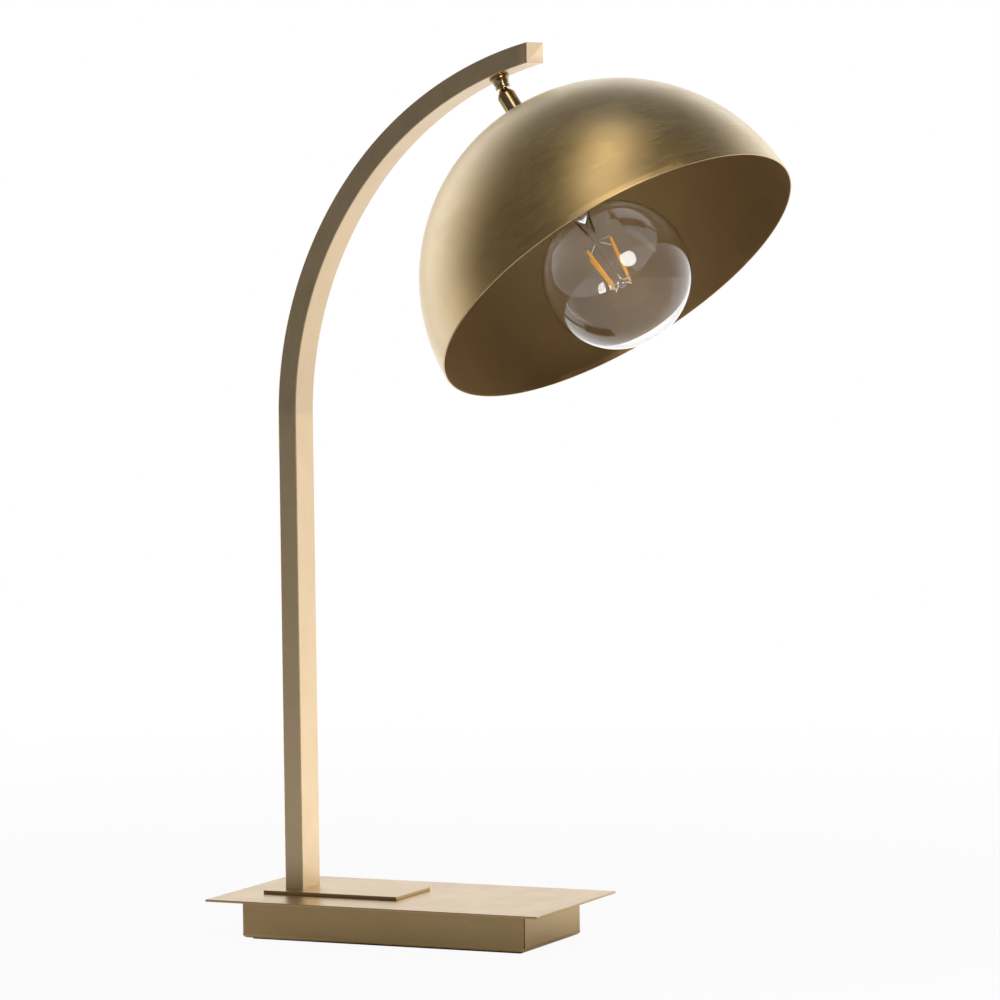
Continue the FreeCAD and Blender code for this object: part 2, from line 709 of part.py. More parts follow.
def build_leads():
    """The wires inside the lamp: base to ball joint, through the ball, and on to the lampholder."""
    radius = float(S.lead_rad)
    level, x = float(lead_level), float(S.arm_place)
    corner = float(S.lead_turn_rad)
    start = Vector(float(S.terminal_place - S.terminal_long / 2), 0, level)
    bend_start = Vector(x + corner, 0, level)
    turn_in, turned = arc_through((x + corner, level + corner), corner, -QUARTER_TURN, QUARTER_TURN)
    first, second = bend_points()
    low_turn = float(S.bend_low_turn)
    low_bend, _ = arc_through(first, float(S.bend_low_rad), HALF_TURN, low_turn)
    dip = float(S.lead_dip_rad)
    early = math.degrees(dip / float(S.bend_high_rad))
    last = float(S.joint_angle) - early
    high_bend, _ = arc_through(second, float(S.bend_high_rad), HALF_TURN - low_turn, last - low_turn)
    reach = float(S.bend_high_rad) - dip
    angle = math.radians(HALF_TURN - last)
    dip_centre = (second[0] + reach * math.cos(angle), second[1] + reach * math.sin(angle))
    dip_bend, _ = arc_through(dip_centre, dip, HALF_TURN - last, QUARTER_TURN + early)
    edges = [
        Part.LineSegment(start, bend_start).toShape(),
        turn_in,
        Part.LineSegment(turned, Vector(x, 0, float(S.arm_straight))).toShape(),
        low_bend,
        high_bend,
        dip_bend,
    ]
    shaped("arm_lead", swept_round(radius, edges))
    dip_depth = float(S.joint_drop + S.tube_deep / 2) - dip
    gap, foot = float(S.lead_gap), float(S.ball_lead_low)
    through_ball = Part.makeCylinder(radius, dip_depth - gap - foot, Vector(0, 0, foot), Vector(0, 0, 1))
    shaped("swivel_lead", through_ball, STUD_FRAME)
    top, low = float(S.seat_low) + gap, float(S.core_top) + gap
    to_holder = Part.makeCylinder(radius, top - low, Vector(0, 0, low), Vector(0, 0, 1))
    shaped("shade_lead", to_holder, SHADE_FRAME)


# ---- ball joint --------------------------------------------------------------------------


def build_ball_joint():
    """The cup under the arm, the ball stud that turns in it, and the barrel that holds the ball."""
    cup_top = S.joint_drop - FACE_GAP
    land = cup_top - S.cup_land
    bowl = fuse(cone(S.cup_low_rad, S.cup_top_rad, S.cup_low, land), cylinder(S.cup_top_rad, land, cup_top))
    bore = cylinder(S.shaft_rad + S.shaft_slack, S.cup_low - OVERCUT, cup_top + OVERCUT)
    cup = cut(bowl, bore)
    cup.Placement = STUD_FRAME
    node(cup, "swivel_cup")

    neck = cylinder(S.neck_rad, ZERO, S.ring_high)
    ring = cylinder(S.ring_rad, S.ring_low, S.ring_high)
    shaft = cylinder(S.shaft_rad, S.ring_high, S.stud_top)
    wire_bore = cylinder(S.ball_bore_rad, -S.ball_rad - OVERCUT, S.stud_top + OVERCUT)
    stud = cut(fuse(ball(S.ball_rad), neck, ring, shaft), wire_bore)
    stud.Placement = STUD_FRAME
    node(stud, "ball_stud")

    nut_low = S.joint_drop + S.tube_wall + FACE_GAP
    nut = cut(
        hexagon(S.stud_nut_rad, nut_low, nut_low + S.stud_nut_high),
        cylinder(S.shaft_rad, nut_low - OVERCUT, nut_low + S.stud_nut_high + OVERCUT),
    )
    nut.Placement = STUD_FRAME
    node(nut, "stud_nut")

    socket_rad = S.ball_rad + S.ball_slack
    seat = cut(
        cylinder(S.seat_rad, S.seat_low, S.seat_top),
        ball(socket_rad),
        cylinder(S.seat_bore_rad, S.seat_low - OVERCUT, S.seat_top + OVERCUT),
    )
    seat.Placement = SHADE_FRAME
    node(seat, "ball_seat")

    washer_top = S.seat_low - FACE_GAP
    washer = cut(
        cone(S.seat_rad - FACE_GAP, S.nipple_bore_rad, S.washer_low, washer_top),
        cone(
            S.seat_rad - S.washer_wall,
            S.nipple_bore_rad - S.washer_wall,
            S.washer_low - TOUCH_GAP,
            washer_top + TOUCH_GAP,
        ),
    )
    washer.Placement = SHADE_FRAME
    node(washer, "spring_washer")

    shoulder = S.barrel_top - S.barrel_cone
    foot = -S.dome_drop - S.barrel_skirt
    shell = fuse(
        cone(S.barrel_rad, S.barrel_top_rad, shoulder, S.barrel_top), cylinder(S.barrel_rad, foot, shoulder)
    )
    seat_bore = cylinder(S.barrel_bore_rad, S.nipple_top, S.seat_top + S.barrel_bore_over)
    tapped = cylinder(S.nipple_rad, foot - OVERCUT, S.nipple_top + OVERCUT)
    dome_seat = ball(S.dome_rad, -S.dome_drop - S.dome_rad)
    barrel = cut(shell, ball(socket_rad), seat_bore, tapped, dome_seat)
    barrel.Placement = SHADE_FRAME
    node(barrel, "swivel_barrel")


# ---- shade and lampholder ----------------------------------------------------------------


def build_shade():
    middle = -S.dome_drop - S.dome_rad
    outside = doc.addObject("Part::Sphere", "dome_outside")
    outside.Angle1 = 0
    at(bind(outside, Radius=S.dome_rad), z=middle)
    hole = cylinder(S.nipple_rad + S.hole_slack, -S.dome_drop - S.dome_wall * 4, -S.dome_drop + OVERCUT)
    dome = cut(outside, ball(S.dome_rad - S.dome_wall, middle), hole)
    dome.Placement = SHADE_FRAME
    node(dome, "dome_shade")

    nipple = cut(
        cylinder(S.nipple_rad, S.nipple_low, S.nipple_top),
        cylinder(S.nipple_bore_rad, S.nipple_low - OVERCUT, S.nipple_top + OVERCUT),
    )
    nipple.Placement = SHADE_FRAME
    node(nipple, "threaded_nipple")

    washer_top = -S.dome_drop - S.dome_wall - S.shade_washer_drop
    washer_low = washer_top - S.shade_washer_thick
    washer = cut(
        cylinder(S.shade_washer_rad, washer_low, washer_top),
        cylinder(S.nipple_rad + S.hole_slack, washer_low - OVERCUT, washer_top + OVERCUT),
    )
    washer.Placement = SHADE_FRAME
    node(washer, "shade_washer")

    nut = cut(
        hexagon(S.shade_nut_rad, washer_low - S.shade_nut_high, washer_low),
        cylinder(S.nipple_rad, washer_low - S.shade_nut_high - OVERCUT, washer_low + OVERCUT),
    )
    nut.Placement = SHADE_FRAME
    node(nut, "shade_nut")


def build_lampholder():
    cap_hollow_top = S.holder_top - S.holder_wall
    cap = cut(
        cone(S.holder_rad, S.holder_top_rad, S.holder_split, S.holder_top),
        cone(S.holder_rad - S.holder_wall, S.holder_top_rad - S.holder_wall, S.holder_split, cap_hollow_top),
        cylinder(S.nipple_rad, cap_hollow_top - OVERCUT, S.holder_top + OVERCUT),
    )
    cap.Placement = SHADE_FRAME
    node(cap, "lampholder_cap")

    lip_top = S.holder_low + S.holder_wall
    body = cut(
        cylinder(S.holder_rad, S.holder_low, S.holder_split),
        cylinder(S.holder_rad - S.holder_wall, lip_top, S.holder_split + OVERCUT),
        cylinder(S.mouth_rad, S.holder_low - OVERCUT, lip_top + OVERCUT),
    )
    body.Placement = SHADE_FRAME
    node(body, "lampholder_body")

    core_step = S.holder_split - S.core_step
    core = cut(
        fuse(
            cylinder(S.core_rad, S.core_low, core_step),
            cone(S.core_rad, S.holder_top_rad, core_step, S.core_top),
        ),
        cylinder(S.lead_hole_rad, S.core_low - OVERCUT, S.core_top + OVERCUT),
    )
    core.Placement = SHADE_FRAME
    node(core, "lampholder_core")

    shell_low = lip_top + S.thread_shell_lift
    outer = S.thread_shell_rad
    hollow = cylinder(outer - S.thread_shell_wall, shell_low - OVERCUT, S.core_low + OVERCUT)
    shell = cut(cylinder(outer, shell_low, S.core_low), hollow)
    shell.Placement = SHADE_FRAME
    node(shell, "lampholder_screw_shell")

    globe = globe_level()
    tip = globe + S.tip_end
    tongue = fuse(
        cylinder(S.tongue_rad, tip + TOUCH_GAP * 2, tip + S.tongue_thick),
        cylinder(S.tongue_rad / 2, tip + S.tongue_thick, S.core_low),
    )
    tongue.Placement = SHADE_FRAME
    node(tongue, "centre_contact")


# ---- bulb --------------------------------------------------------------------------------


def globe_level():
    """The middle of the bulb's globe, along the shade's axis from the ball."""
    return -S.dome_drop - S.dome_rad + S.globe_back


def bulb_frame():
    """A placement with its origin in the middle of the globe and Z towards the cap."""
    return SHADE_FRAME.multiply(Placement(Vector(0, 0, float(globe_level())), Rotation()))


def turned(outline):
    """A solid of revolution about Z, from edges that close on the axis or on themselves."""
    face = Part.Face(Part.Wire(outline))
    return face.revolve(Vector(0, 0, 0), Vector(0, 0, 1), 360)


def glass_line(offset):
    """The edges of the glass from its crown to the neck's end, set in by offset."""
    globe = float(S.globe_rad) - offset
    fillet_rad = float(S.glass_fillet_rad) + offset
    neck = float(S.glass_neck_rad) - offset
    full_reach = float(S.globe_rad + S.glass_fillet_rad)
    side = float(S.glass_neck_rad + S.glass_fillet_rad)
    rise = math.sqrt(full_reach**2 - side**2)
    lean = math.atan2(rise, side)

    def on_globe(angle):
        return Vector(globe * math.cos(angle), 0, globe * math.sin(angle))

    def on_fillet(angle):
        return Vector(side - fillet_rad * math.cos(angle), 0, rise - fillet_rad * math.sin(angle))

    low, join = Vector(0, 0, -globe), on_globe(lean)
    halfway = on_globe((lean - math.pi / 2) / 2)
    neck_start = Vector(neck, 0, rise)
    neck_end = Vector(neck, 0, float(S.glass_neck_end))
    tail = float(S.glass_tail_rad) - offset
    shoulder = Vector(tail, 0, float(S.glass_shoulder))
    mouth = Vector(tail, 0, float(S.glass_end))
    edges = [
        Part.Arc(low, halfway, join).toShape(),
        Part.Arc(join, on_fillet(lean / 2), neck_start).toShape(),
        Part.LineSegment(neck_start, neck_end).toShape(),
        Part.LineSegment(neck_end, shoulder).toShape(),
        Part.LineSegment(shoulder, mouth).toShape(),
    ]
    return edges, low, mouth


def build_bulb():
    frame = bulb_frame()
    outer, outer_low, outer_mouth = glass_line(0.0)
    inner, inner_low, inner_mouth = glass_line(float(S.glass_wall))
    rim = Part.LineSegment(outer_mouth, inner_mouth).toShape()
    crown = Part.LineSegment(inner_low, outer_low).toShape()
    closed = Part.__sortEdges__([*outer, rim, *inner, crown])
    shaped("bulb_globe", turned(closed), frame)
    build_bulb_cap(frame)
    build_bulb_inside(frame)


def build_bulb_cap(frame):
    """The rolled screw cap: a thin shell whose waves stand in for the thread."""
    pitch, deep = float(S.thread_pitch), float(S.thread_deep)
    start, end = float(S.cap_start), float(S.cap_end)
    thread_start = start + float(S.cap_collar)
    waves = int((end - thread_start) / pitch)
    wall = float(S.cap_wall)

    def wave_points(radius):
        points = [Vector(radius, 0, start)]
        for k in range(waves):
            low = thread_start + k * pitch
            points.append(Vector(radius, 0, low))
            points.append(Vector(radius - deep, 0, low + pitch / 2))
        points.append(Vector(radius, 0, thread_start + waves * pitch))
        points.append(Vector(radius - float(S.cap_taper), 0, end))
        return points

    outer = wave_points(float(S.cap_rad))
    inner = wave_points(float(S.cap_rad) - wall)
    shell_outline = Part.makePolygon([*outer, *reversed(inner), outer[0]])
    shaped("bulb_cap", Part.Face(shell_outline).revolve(Vector(), Vector(0, 0, 1), 360), frame)

    insulator_low = float(S.cap_end) + TOUCH_GAP
    wide, narrow = float(S.cap_rad - S.cap_taper), float(S.tip_rad + S.insulator_rim)
    insulator = Part.makeCone(
        wide, narrow, float(S.tip_start) - insulator_low, Vector(0, 0, insulator_low)
    )
    shaped("bulb_insulator", insulator, frame)
    tip_start = float(S.tip_start) + TOUCH_GAP
    tip = Part.makeCylinder(float(S.tip_rad), float(S.tip_end) - tip_start, Vector(0, 0, tip_start))
    shaped("bulb_tip", tip, frame)


def filament_ends(index):
    """The two ends of one filament, lower end first."""
    angle = math.radians(float(S.filament_turn) + index * 360.0 / FILAMENT_COUNT)
    side = Vector(math.cos(angle), math.sin(angle), 0)
    low = side * float(S.filament_low_rad) + Vector(0, 0, float(S.filament_low))
    top = side * float(S.filament_top_rad) + Vector(0, 0, float(S.filament_top))
    return low, top


def bar_between(start, end, radius):
    way = end - start
    return Part.makeCylinder(radius, way.Length, start, way)


def support_wire(end, way, goal, radius):
    """A short stub straight out of a filament's end, then a straight run to the stem."""
    knee = end + way * float(S.wire_stub)
    stub = bar_between(end + way * TOUCH_GAP, knee, radius)
    return stub.fuse([Part.makeSphere(radius, knee), bar_between(knee, goal, radius)])


def build_bulb_inside(frame):
    rod_rad = float(S.stem_rad)
    tip, press, flare = float(S.stem_tip), float(S.stem_press), float(S.stem_flare)
    corners = [
        Vector(0, 0, tip),
        Vector(rod_rad * 0.7, 0, tip + 0.6),
        Vector(rod_rad, 0, tip + 2.4),
        Vector(rod_rad, 0, press),
        Vector(rod_rad * 1.6, 0, press + 5),
        Vector(float(S.stem_flare_rad), 0, flare),
        Vector(float(S.stem_flare_rad) - 1.2, 0, flare),
        Vector(rod_rad * 0.8, 0, press + 7),
        Vector(0, 0, press + 5),
        Vector(0, 0, tip),
    ]
    stem = Part.Face(Part.makePolygon(corners)).revolve(Vector(), Vector(0, 0, 1), 360)
    shaped("bulb_stem", stem, frame)

    filaments, wires = [], []
    wire_rad = float(S.wire_rad)
    wire_reach = rod_rad + float(S.wire_gap)
    for index in range(FILAMENT_COUNT):
        low, top = filament_ends(index)
        way = (top - low).normalize()
        filaments.append(bar_between(low, top, float(S.filament_rad)))
        side = Vector(top.x, top.y, 0).normalize()
        hold = side * wire_reach + Vector(0, 0, float(S.wire_hold))
        wires.append(support_wire(top, way, hold, wire_rad))
        under = side * wire_reach + Vector(0, 0, float(S.wire_foot))
        wires.append(support_wire(low, -way, under, wire_rad))
    shaped("bulb_filaments", Part.makeCompound(filaments), frame)
    shaped("bulb_wires", Part.makeCompound(wires), frame)


def check_and_write():
    """Stops on any failed object, then writes one STEP file for each sub-part."""
    doc.recompute()
    failed = [o.Label for o in doc.Objects if "Invalid" in o.State or "Error" in o.State]
    if failed:
        raise RuntimeError(f"these objects failed: {failed}")
    os.makedirs("parts", exist_ok=True)
    for thing in nodes:
        shape = thing.Shape
        if shape.isNull() or not shape.isValid() or not shape.Solids:
            raise RuntimeError(f"{thing.Label} has no valid solid")
        shape.exportStep(os.path.join("parts", f"{thing.Label}.step"))
        print(f"{thing.Label}: {len(shape.Solids)} solid(s), {shape.Volume:.1f} mm3")


build_base()
build_arm()
build_leads()
build_ball_joint()
build_shade()
build_lampholder()
build_bulb()
check_and_write()
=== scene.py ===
import json
import math

import bmesh
import bpy
from mathutils import Matrix, Vector

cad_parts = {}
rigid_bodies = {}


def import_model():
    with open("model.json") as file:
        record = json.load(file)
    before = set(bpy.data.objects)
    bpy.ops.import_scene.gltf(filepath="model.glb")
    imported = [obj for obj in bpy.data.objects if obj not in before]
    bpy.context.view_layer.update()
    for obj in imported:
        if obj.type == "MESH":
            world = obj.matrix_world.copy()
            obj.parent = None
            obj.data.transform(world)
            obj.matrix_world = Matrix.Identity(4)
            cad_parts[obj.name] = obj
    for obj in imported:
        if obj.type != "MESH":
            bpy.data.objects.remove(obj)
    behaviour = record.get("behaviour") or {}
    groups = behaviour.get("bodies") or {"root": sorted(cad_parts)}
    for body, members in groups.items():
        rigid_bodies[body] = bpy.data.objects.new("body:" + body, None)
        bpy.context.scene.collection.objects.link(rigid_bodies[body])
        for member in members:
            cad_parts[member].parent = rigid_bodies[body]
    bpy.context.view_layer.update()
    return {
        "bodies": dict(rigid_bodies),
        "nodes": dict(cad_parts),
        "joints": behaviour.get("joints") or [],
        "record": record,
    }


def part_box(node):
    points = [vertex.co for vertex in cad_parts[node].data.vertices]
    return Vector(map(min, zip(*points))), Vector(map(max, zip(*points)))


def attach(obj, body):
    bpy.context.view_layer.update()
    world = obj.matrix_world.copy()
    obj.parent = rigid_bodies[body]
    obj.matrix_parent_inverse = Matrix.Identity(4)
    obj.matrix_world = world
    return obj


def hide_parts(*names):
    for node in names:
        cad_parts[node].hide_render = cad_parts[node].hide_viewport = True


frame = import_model()

bl_info = {
    "name": "Dome Shade Desk Lamp",
    "version": (1, 0, 0),
    "blender": (4, 5, 0),
    "location": "View3D > Sidebar > Desk Lamp",
    "description": "Builds a satin brass desk lamp with a dome shade around its packed frame",
    "category": "Add Mesh",
}

MM = 0.001
MADE_FINISHES = {}

# Fixed trim of the small pieces, in metres. Each EASE is the rounding of a piece's edges.
FIT = 0.00006  # between two turned faces
RUBBER_EASE = 0.0004
TIP_EASE = 0.0005
CUP_EASE = 0.00025
CUP_LIP = 0.0014  # height of the lip at the top of the cup
STUD_EASE = 0.00018
GROOVE = 0.0003  # depth of the groove round the stud's ring
BARREL_EASE = 0.0003
BARREL_SKIRT = 0.0001  # barrel below the top of the dome
BARREL_WALL = 0.0012
SOCKET_STEP = 0.001  # edge of the ball's socket below the ball's middle
NIPPLE = 0.00495  # radius of the hole in the lampholder's top
HOLDER_EASE = 0.0005
HOLDER_SKIRT = 0.003  # straight side of the lampholder's cap
HOLDER_SEAM = 0.0006  # slope at the lampholder's seam
CAP_COLLAR = 0.002  # plain part of the bulb's cap before its thread
CAP_TAPER = 0.001  # how far the end of the bulb's cap draws in
CLIP_INSIDE = 0.0011  # part of a filament that its clip covers
CLIP_OUTSIDE = 0.0004  # clip past the filament's end

# The studio, in metres. Its lights face the middle of the dome.
FLOOR_HALF = 6.0
DOME_MIDDLE = Vector((0.161, -0.022, 0.428))
TO_STRIP = Vector((0.053, -0.377, 0.876)) * 1.3
TO_SOFTBOX = Vector((0.61, -0.67, 0.42)) * 1.4
STRIP_SIZE = (0.35, 1.2)
SOFTBOX_SIZE = (0.6, 0.6)
AWAY_FROM_CAMERA = (-0.417, 0.907, 0.0)
CAMERA_PLACE = Vector((1.46178, -3.03599, 0.50092))
CAMERA_LOOK = Vector((-0.41659, 0.90681, -0.06440))
CAMERA_UP = Vector((-0.01544, 0.06377, 0.99785))


def joint_of(name):
    return [j for j in frame["joints"] if j["name"] == name][0]


def frame_along(place, up):
    """A matrix with its origin at place and its Z axis along up, its X in the arm's plane."""
    side = Vector((0, 1, 0)).cross(up).normalized()
    third = up.cross(side)
    turn = Matrix((side, third, up)).transposed()
    return Matrix.Translation(place) @ turn.to_4x4()


BALL = Vector(joint_of("shade_pan")["pos_m"])
STUD_UP = Vector(joint_of("shade_pan")["axis"]).normalized()
SHADE_UP = -Vector(joint_of("shade_spin")["axis"]).normalized()
STUD_FRAME = frame_along(BALL, STUD_UP)
SHADE_FRAME = frame_along(BALL, SHADE_UP)


# ---- sizes and finishes that a user would change ------------------------------------------


def length(name, description, millimetres, least=0.0):
    return bpy.props.FloatProperty(
        name=name,
        description=description,
        default=millimetres * MM,
        min=least,
        unit="LENGTH",
        precision=5,
    )


def angle(name, description, degrees):
    return bpy.props.FloatProperty(
        name=name, description=description, default=math.radians(degrees), subtype="ANGLE"
    )


def colour(name, description, red, green, blue):
    return bpy.props.FloatVectorProperty(
        name=name,
        description=description,
        default=(red, green, blue),
        size=3,
        min=0.0,
        max=1.0,
        subtype="COLOR",
    )


def share(name, description, value):
    return bpy.props.FloatProperty(
        name=name, description=description, default=value, min=0.0, max=1.0, subtype="FACTOR"
    )


def amount(name, description, value, least=0.0):
    return bpy.props.FloatProperty(name=name, description=description, default=value, min=least)


class LampBaseSizes(bpy.types.PropertyGroup):
    box_bend: length("Box bend", "Outside radius of the box's lower folds", 3.0)
    box_sheet: length("Box sheet", "Sheet of the folded box", 1.2)
    seam_gap: length("Seam gap", "Open seam up each corner of the box", 0.7)
    plate_ease: length("Plate edge", "Rounding of the plates' edges", 0.3)
    grommet_bore: length("Inlet bore", "Radius of the cord inlet", 3.4)
    grommet_neck: length("Inlet neck", "Radius of the grommet in the wall", 5.0)
    grommet_flange: length("Inlet flange", "Radius of the grommet's flange", 6.5)
    grommet_thick: length("Inlet flange thickness", "Thickness of each flange", 1.5)


class LampArmSizes(bpy.types.PropertyGroup):
    deep: length("Depth", "Tube across the bend", 12.7)
    wide: length("Width", "Tube along Y", 25.4)
    wall: length("Wall", "Tube wall", 1.2)
    corner: length("Corner", "Radius of the tube's corners", 0.7)
    place: length("Place", "Middle of the upright along X", -78.35, -1.0)
    foot: length("Foot", "Height of the arm's lower end", 29.9)
    straight: length("Straight", "Height where the arm starts to bend", 337.4)
    low_rad: length("Lower bend", "Middle line of the first bend", 250.0)
    low_turn: angle("Lower turn", "Turn of the first bend", 38.2)
    high_rad: length("Upper bend", "Middle line of the second bend", 221.5)
    high_turn: angle("Upper turn", "Angle where the second bend ends", 80.0)
    tip: length("Tip", "Upright cut at the arm's tip along X", 95.3)
    cap: length("Tip plate", "Plate that closes the tip", 1.5)


class LampJointSizes(bpy.types.PropertyGroup):
    cup_top: length("Cup top", "Radius of the cup under the arm", 6.5)
    cup_low: length("Cup foot", "Radius of the cup's lower end", 4.9)
    cup_foot: length("Cup level", "Lower end of the cup above the ball's middle", 6.9)
    cup_roof: length("Cup roof", "Upper end of the cup above the ball's middle", 12.4)
    shaft: length("Shaft", "Radius of the shaft in the cup", 3.9)
    ring: length("Ring", "Radius of the turned ring", 4.9)
    ring_low: length("Ring foot", "Lower face of the ring", 4.4)
    ring_high: length("Ring top", "Upper face of the ring", 6.3)
    neck: length("Neck", "Radius of the neck over the ball", 2.4)
    ball: length("Ball", "Radius of the ball", 4.6)
    stud_top: length("Stud top", "Upper end of the ball stud", 17.0)
    barrel: length("Barrel", "Radius of the barrel", 6.1)
    barrel_mouth: length("Barrel mouth", "Radius of the barrel's upper end", 4.75)
    barrel_top: length("Barrel top", "Upper end of the barrel", 1.5)
    barrel_cone: length("Barrel cone", "Height of the barrel's cone", 2.6)
    dome_drop: length("Dome drop", "Top of the dome below the ball", 21.2)


class LampShadeSizes(bpy.types.PropertyGroup):
    radius: length("Radius", "Outside of the dome", 125.0)
    wall: length("Wall", "Sheet of the dome", 0.9)
    hole: length("Hole", "Radius of the hole at the top", 5.1)
    holder: length("Holder", "Radius of the lampholder", 19.5)
    holder_top: length("Holder top radius", "Lampholder at its top", 11.0)
    holder_mouth: length("Holder mouth", "Radius of the lampholder's mouth", 14.6)
    holder_start: length("Holder start", "Upper end of the lampholder below the ball", 29.0)
    holder_split: length("Holder seam", "Seam of the lampholder below the ball", 46.0)
    holder_end: length("Holder end", "Mouth of the lampholder below the ball", 77.5)
    holder_wall: length("Holder wall", "Wall of the lampholder", 1.6)


class LampBulbSizes(bpy.types.PropertyGroup):
    globe: length("Globe", "Radius of the glass globe", 47.0)
    globe_back: length("Globe set back", "Middle of the globe inside the dome's rim", 2.7)
    glass: length("Glass", "Thickness of the glass", 0.8)
    neck: length("Neck", "Radius of the glass neck", 16.4)
    fillet: length("Neck curve", "Hollow curve between globe and neck", 20.0)
    neck_end: length("Neck end", "Where the neck starts to close in", 61.0)
    shoulder: length("Shoulder", "Where the glass enters the cap", 64.4)
    tail: length("Tail", "Radius of the glass inside the cap", 12.5)
    glass_end: length("Glass end", "End of the glass inside the cap", 66.8)
    cap: length("Cap", "Radius of the bulb's cap", 13.2)
    cap_wall: length("Cap wall", "Sheet of the bulb's cap", 0.3)
    cap_start: length("Cap start", "Open end of the cap", 64.6)
    cap_end: length("Cap end", "End of the cap's thread", 85.0)
    thread_pitch: length("Thread pitch", "Pitch of the bulb's thread", 3.63)
    thread_deep: length("Thread depth", "Depth of the rolled thread", 0.55)
    stem: length("Stem", "Radius of the glass stem", 2.7)
    stem_tip: length("Stem tip", "End of the stem past the globe's middle", 9.8)
    stem_press: length("Stem pinch", "Pinch of the stem before the globe's middle", 34.0)
    stem_flare: length("Stem flare", "Wide end of the stem", 66.0)
    stem_flare_rad: length("Stem flare radius", "Radius of the stem's wide end", 11.65)
    filament: length("Filament", "Radius of one filament", 0.9)
    filament_top: length("Filament top", "Upper ends of the filaments", 21.6)
    filament_low: length("Filament foot", "Lower ends of the filaments past the middle", 7.5)
    filament_top_rad: length("Top circle", "Circle of the upper ends", 12.2)
    filament_low_rad: length("Foot circle", "Circle of the lower ends", 7.6)
    filament_turn: angle("Filament turn", "Turn of the first filament", -20.5)
    wire: length("Wire", "Radius of the support wires", 0.25)
    wire_hold: length("Wire hold", "Where the upper wires meet the stem", 25.5)
    wire_foot: length("Wire foot", "Where the lower wires meet the stem", 5.8)
    filament_count: bpy.props.IntProperty(
        name="Filaments", description="Number of filaments", default=4, min=1, max=8
    )


class LampFinishes(bpy.types.PropertyGroup):
    brass: colour("Satin brass", "Plated plates and arm", 0.56, 0.40, 0.21)
    brass_dark: colour("Brass shadow", "Darker drift in the satin plating", 0.46, 0.31, 0.15)
    brass_rough: share("Satin roughness", "Roughness of the satin plating", 0.34)
    # The box's brass is darker than the plates': painted shade, as the box stands under the
    # overhanging plate.
    box: colour("Box brass", "Folded box under the plate", 0.48, 0.34, 0.165)
    arm: colour("Arm brass", "Drawn tube of the arm", 0.70, 0.53, 0.325)
    # The arm's brass is paler and less saturated than the plates': painted light, standing for the
    # wider reflections its brushed faces catch.
    dome: colour("Dome brass", "Outside of the dome", 0.54, 0.365, 0.15)
    # The inside of the dome is a darker copy of the dome's brass: painted shade inside the dome.
    dome_inside_painted_shade: colour("Dome inside", "Inside of the dome", 0.46, 0.31, 0.145)
    turned: colour("Turned brass", "Polished pieces of the ball joint", 0.50, 0.37, 0.20)
    glass: colour("Clear glass", "Bulb's glass", 1.0, 1.0, 1.0)
    filament: colour("Filament", "Amber coating of the filaments", 0.86, 0.42, 0.07)
    porcelain: colour("Porcelain", "Core of the lampholder", 0.80, 0.78, 0.72)
    felt: colour("Felt", "Sheet under the base", 0.035, 0.033, 0.031)


class LampStudio(bpy.types.PropertyGroup):
    lens: amount("Lens", "Camera lens in millimetres", 188.53, 1.0)
    floor: colour("Floor", "Pale floor", 0.82, 0.82, 0.82)
    backdrop: amount("Backdrop", "Brightness of the paper behind the lamp", 1.22)
    front: share("Front", "Brightness on the camera's side", 0.12)
    top_power: amount("Top light", "Power of the top strip", 2.8)
    round_power: amount("Round light", "Power of the round softbox", 9.0)


SETTINGS = {
    "lamp_base": LampBaseSizes,
    "lamp_arm": LampArmSizes,
    "lamp_joint": LampJointSizes,
    "lamp_shade": LampShadeSizes,
    "lamp_bulb": LampBulbSizes,
    "lamp_finishes": LampFinishes,
    "lamp_studio": LampStudio,
}


# ---- materials ---------------------------------------------------------------------------


class Tree:
    """A node tree, with short ways to add nodes and to link them."""

    def __init__(self, tree):
        self.tree = tree

    def add(self, kind, **settings):
        node = self.tree.nodes.new(kind)
        for name, value in settings.items():
            setattr(node, name, value)
        return node

    def link(self, source, target):
        self.tree.links.new(source, target)

    def maths(self, operation, first, second):
        step = self.add("ShaderNodeMath", operation=operation)
        self.link(first, step.inputs[0])
        self.link(second, step.inputs[1])
        return step.outputs["Value"]

    def along(self, vector, direction):
        """How far a vector reaches in one direction."""
        product = self.add("ShaderNodeVectorMath", operation="DOT_PRODUCT")
        product.inputs[1].default_value = direction
        self.link(vector, product.inputs[0])
        return product.outputs["Value"]

    def ranged(self, value, low, high, start=0.3, end=0.7, soft=False):
        """Spreads a part of a pattern's range, as a rule its middle, over low to high."""
        spread = self.add("ShaderNodeMapRange")
        spread.interpolation_type = "SMOOTHSTEP" if soft else "LINEAR"
        spread.inputs["From Min"].default_value = start
        spread.inputs["From Max"].default_value = end
        spread.inputs["To Min"].default_value = low
        spread.inputs["To Max"].default_value = high
        self.link(value, spread.inputs["Value"])
        return spread.outputs["Result"]


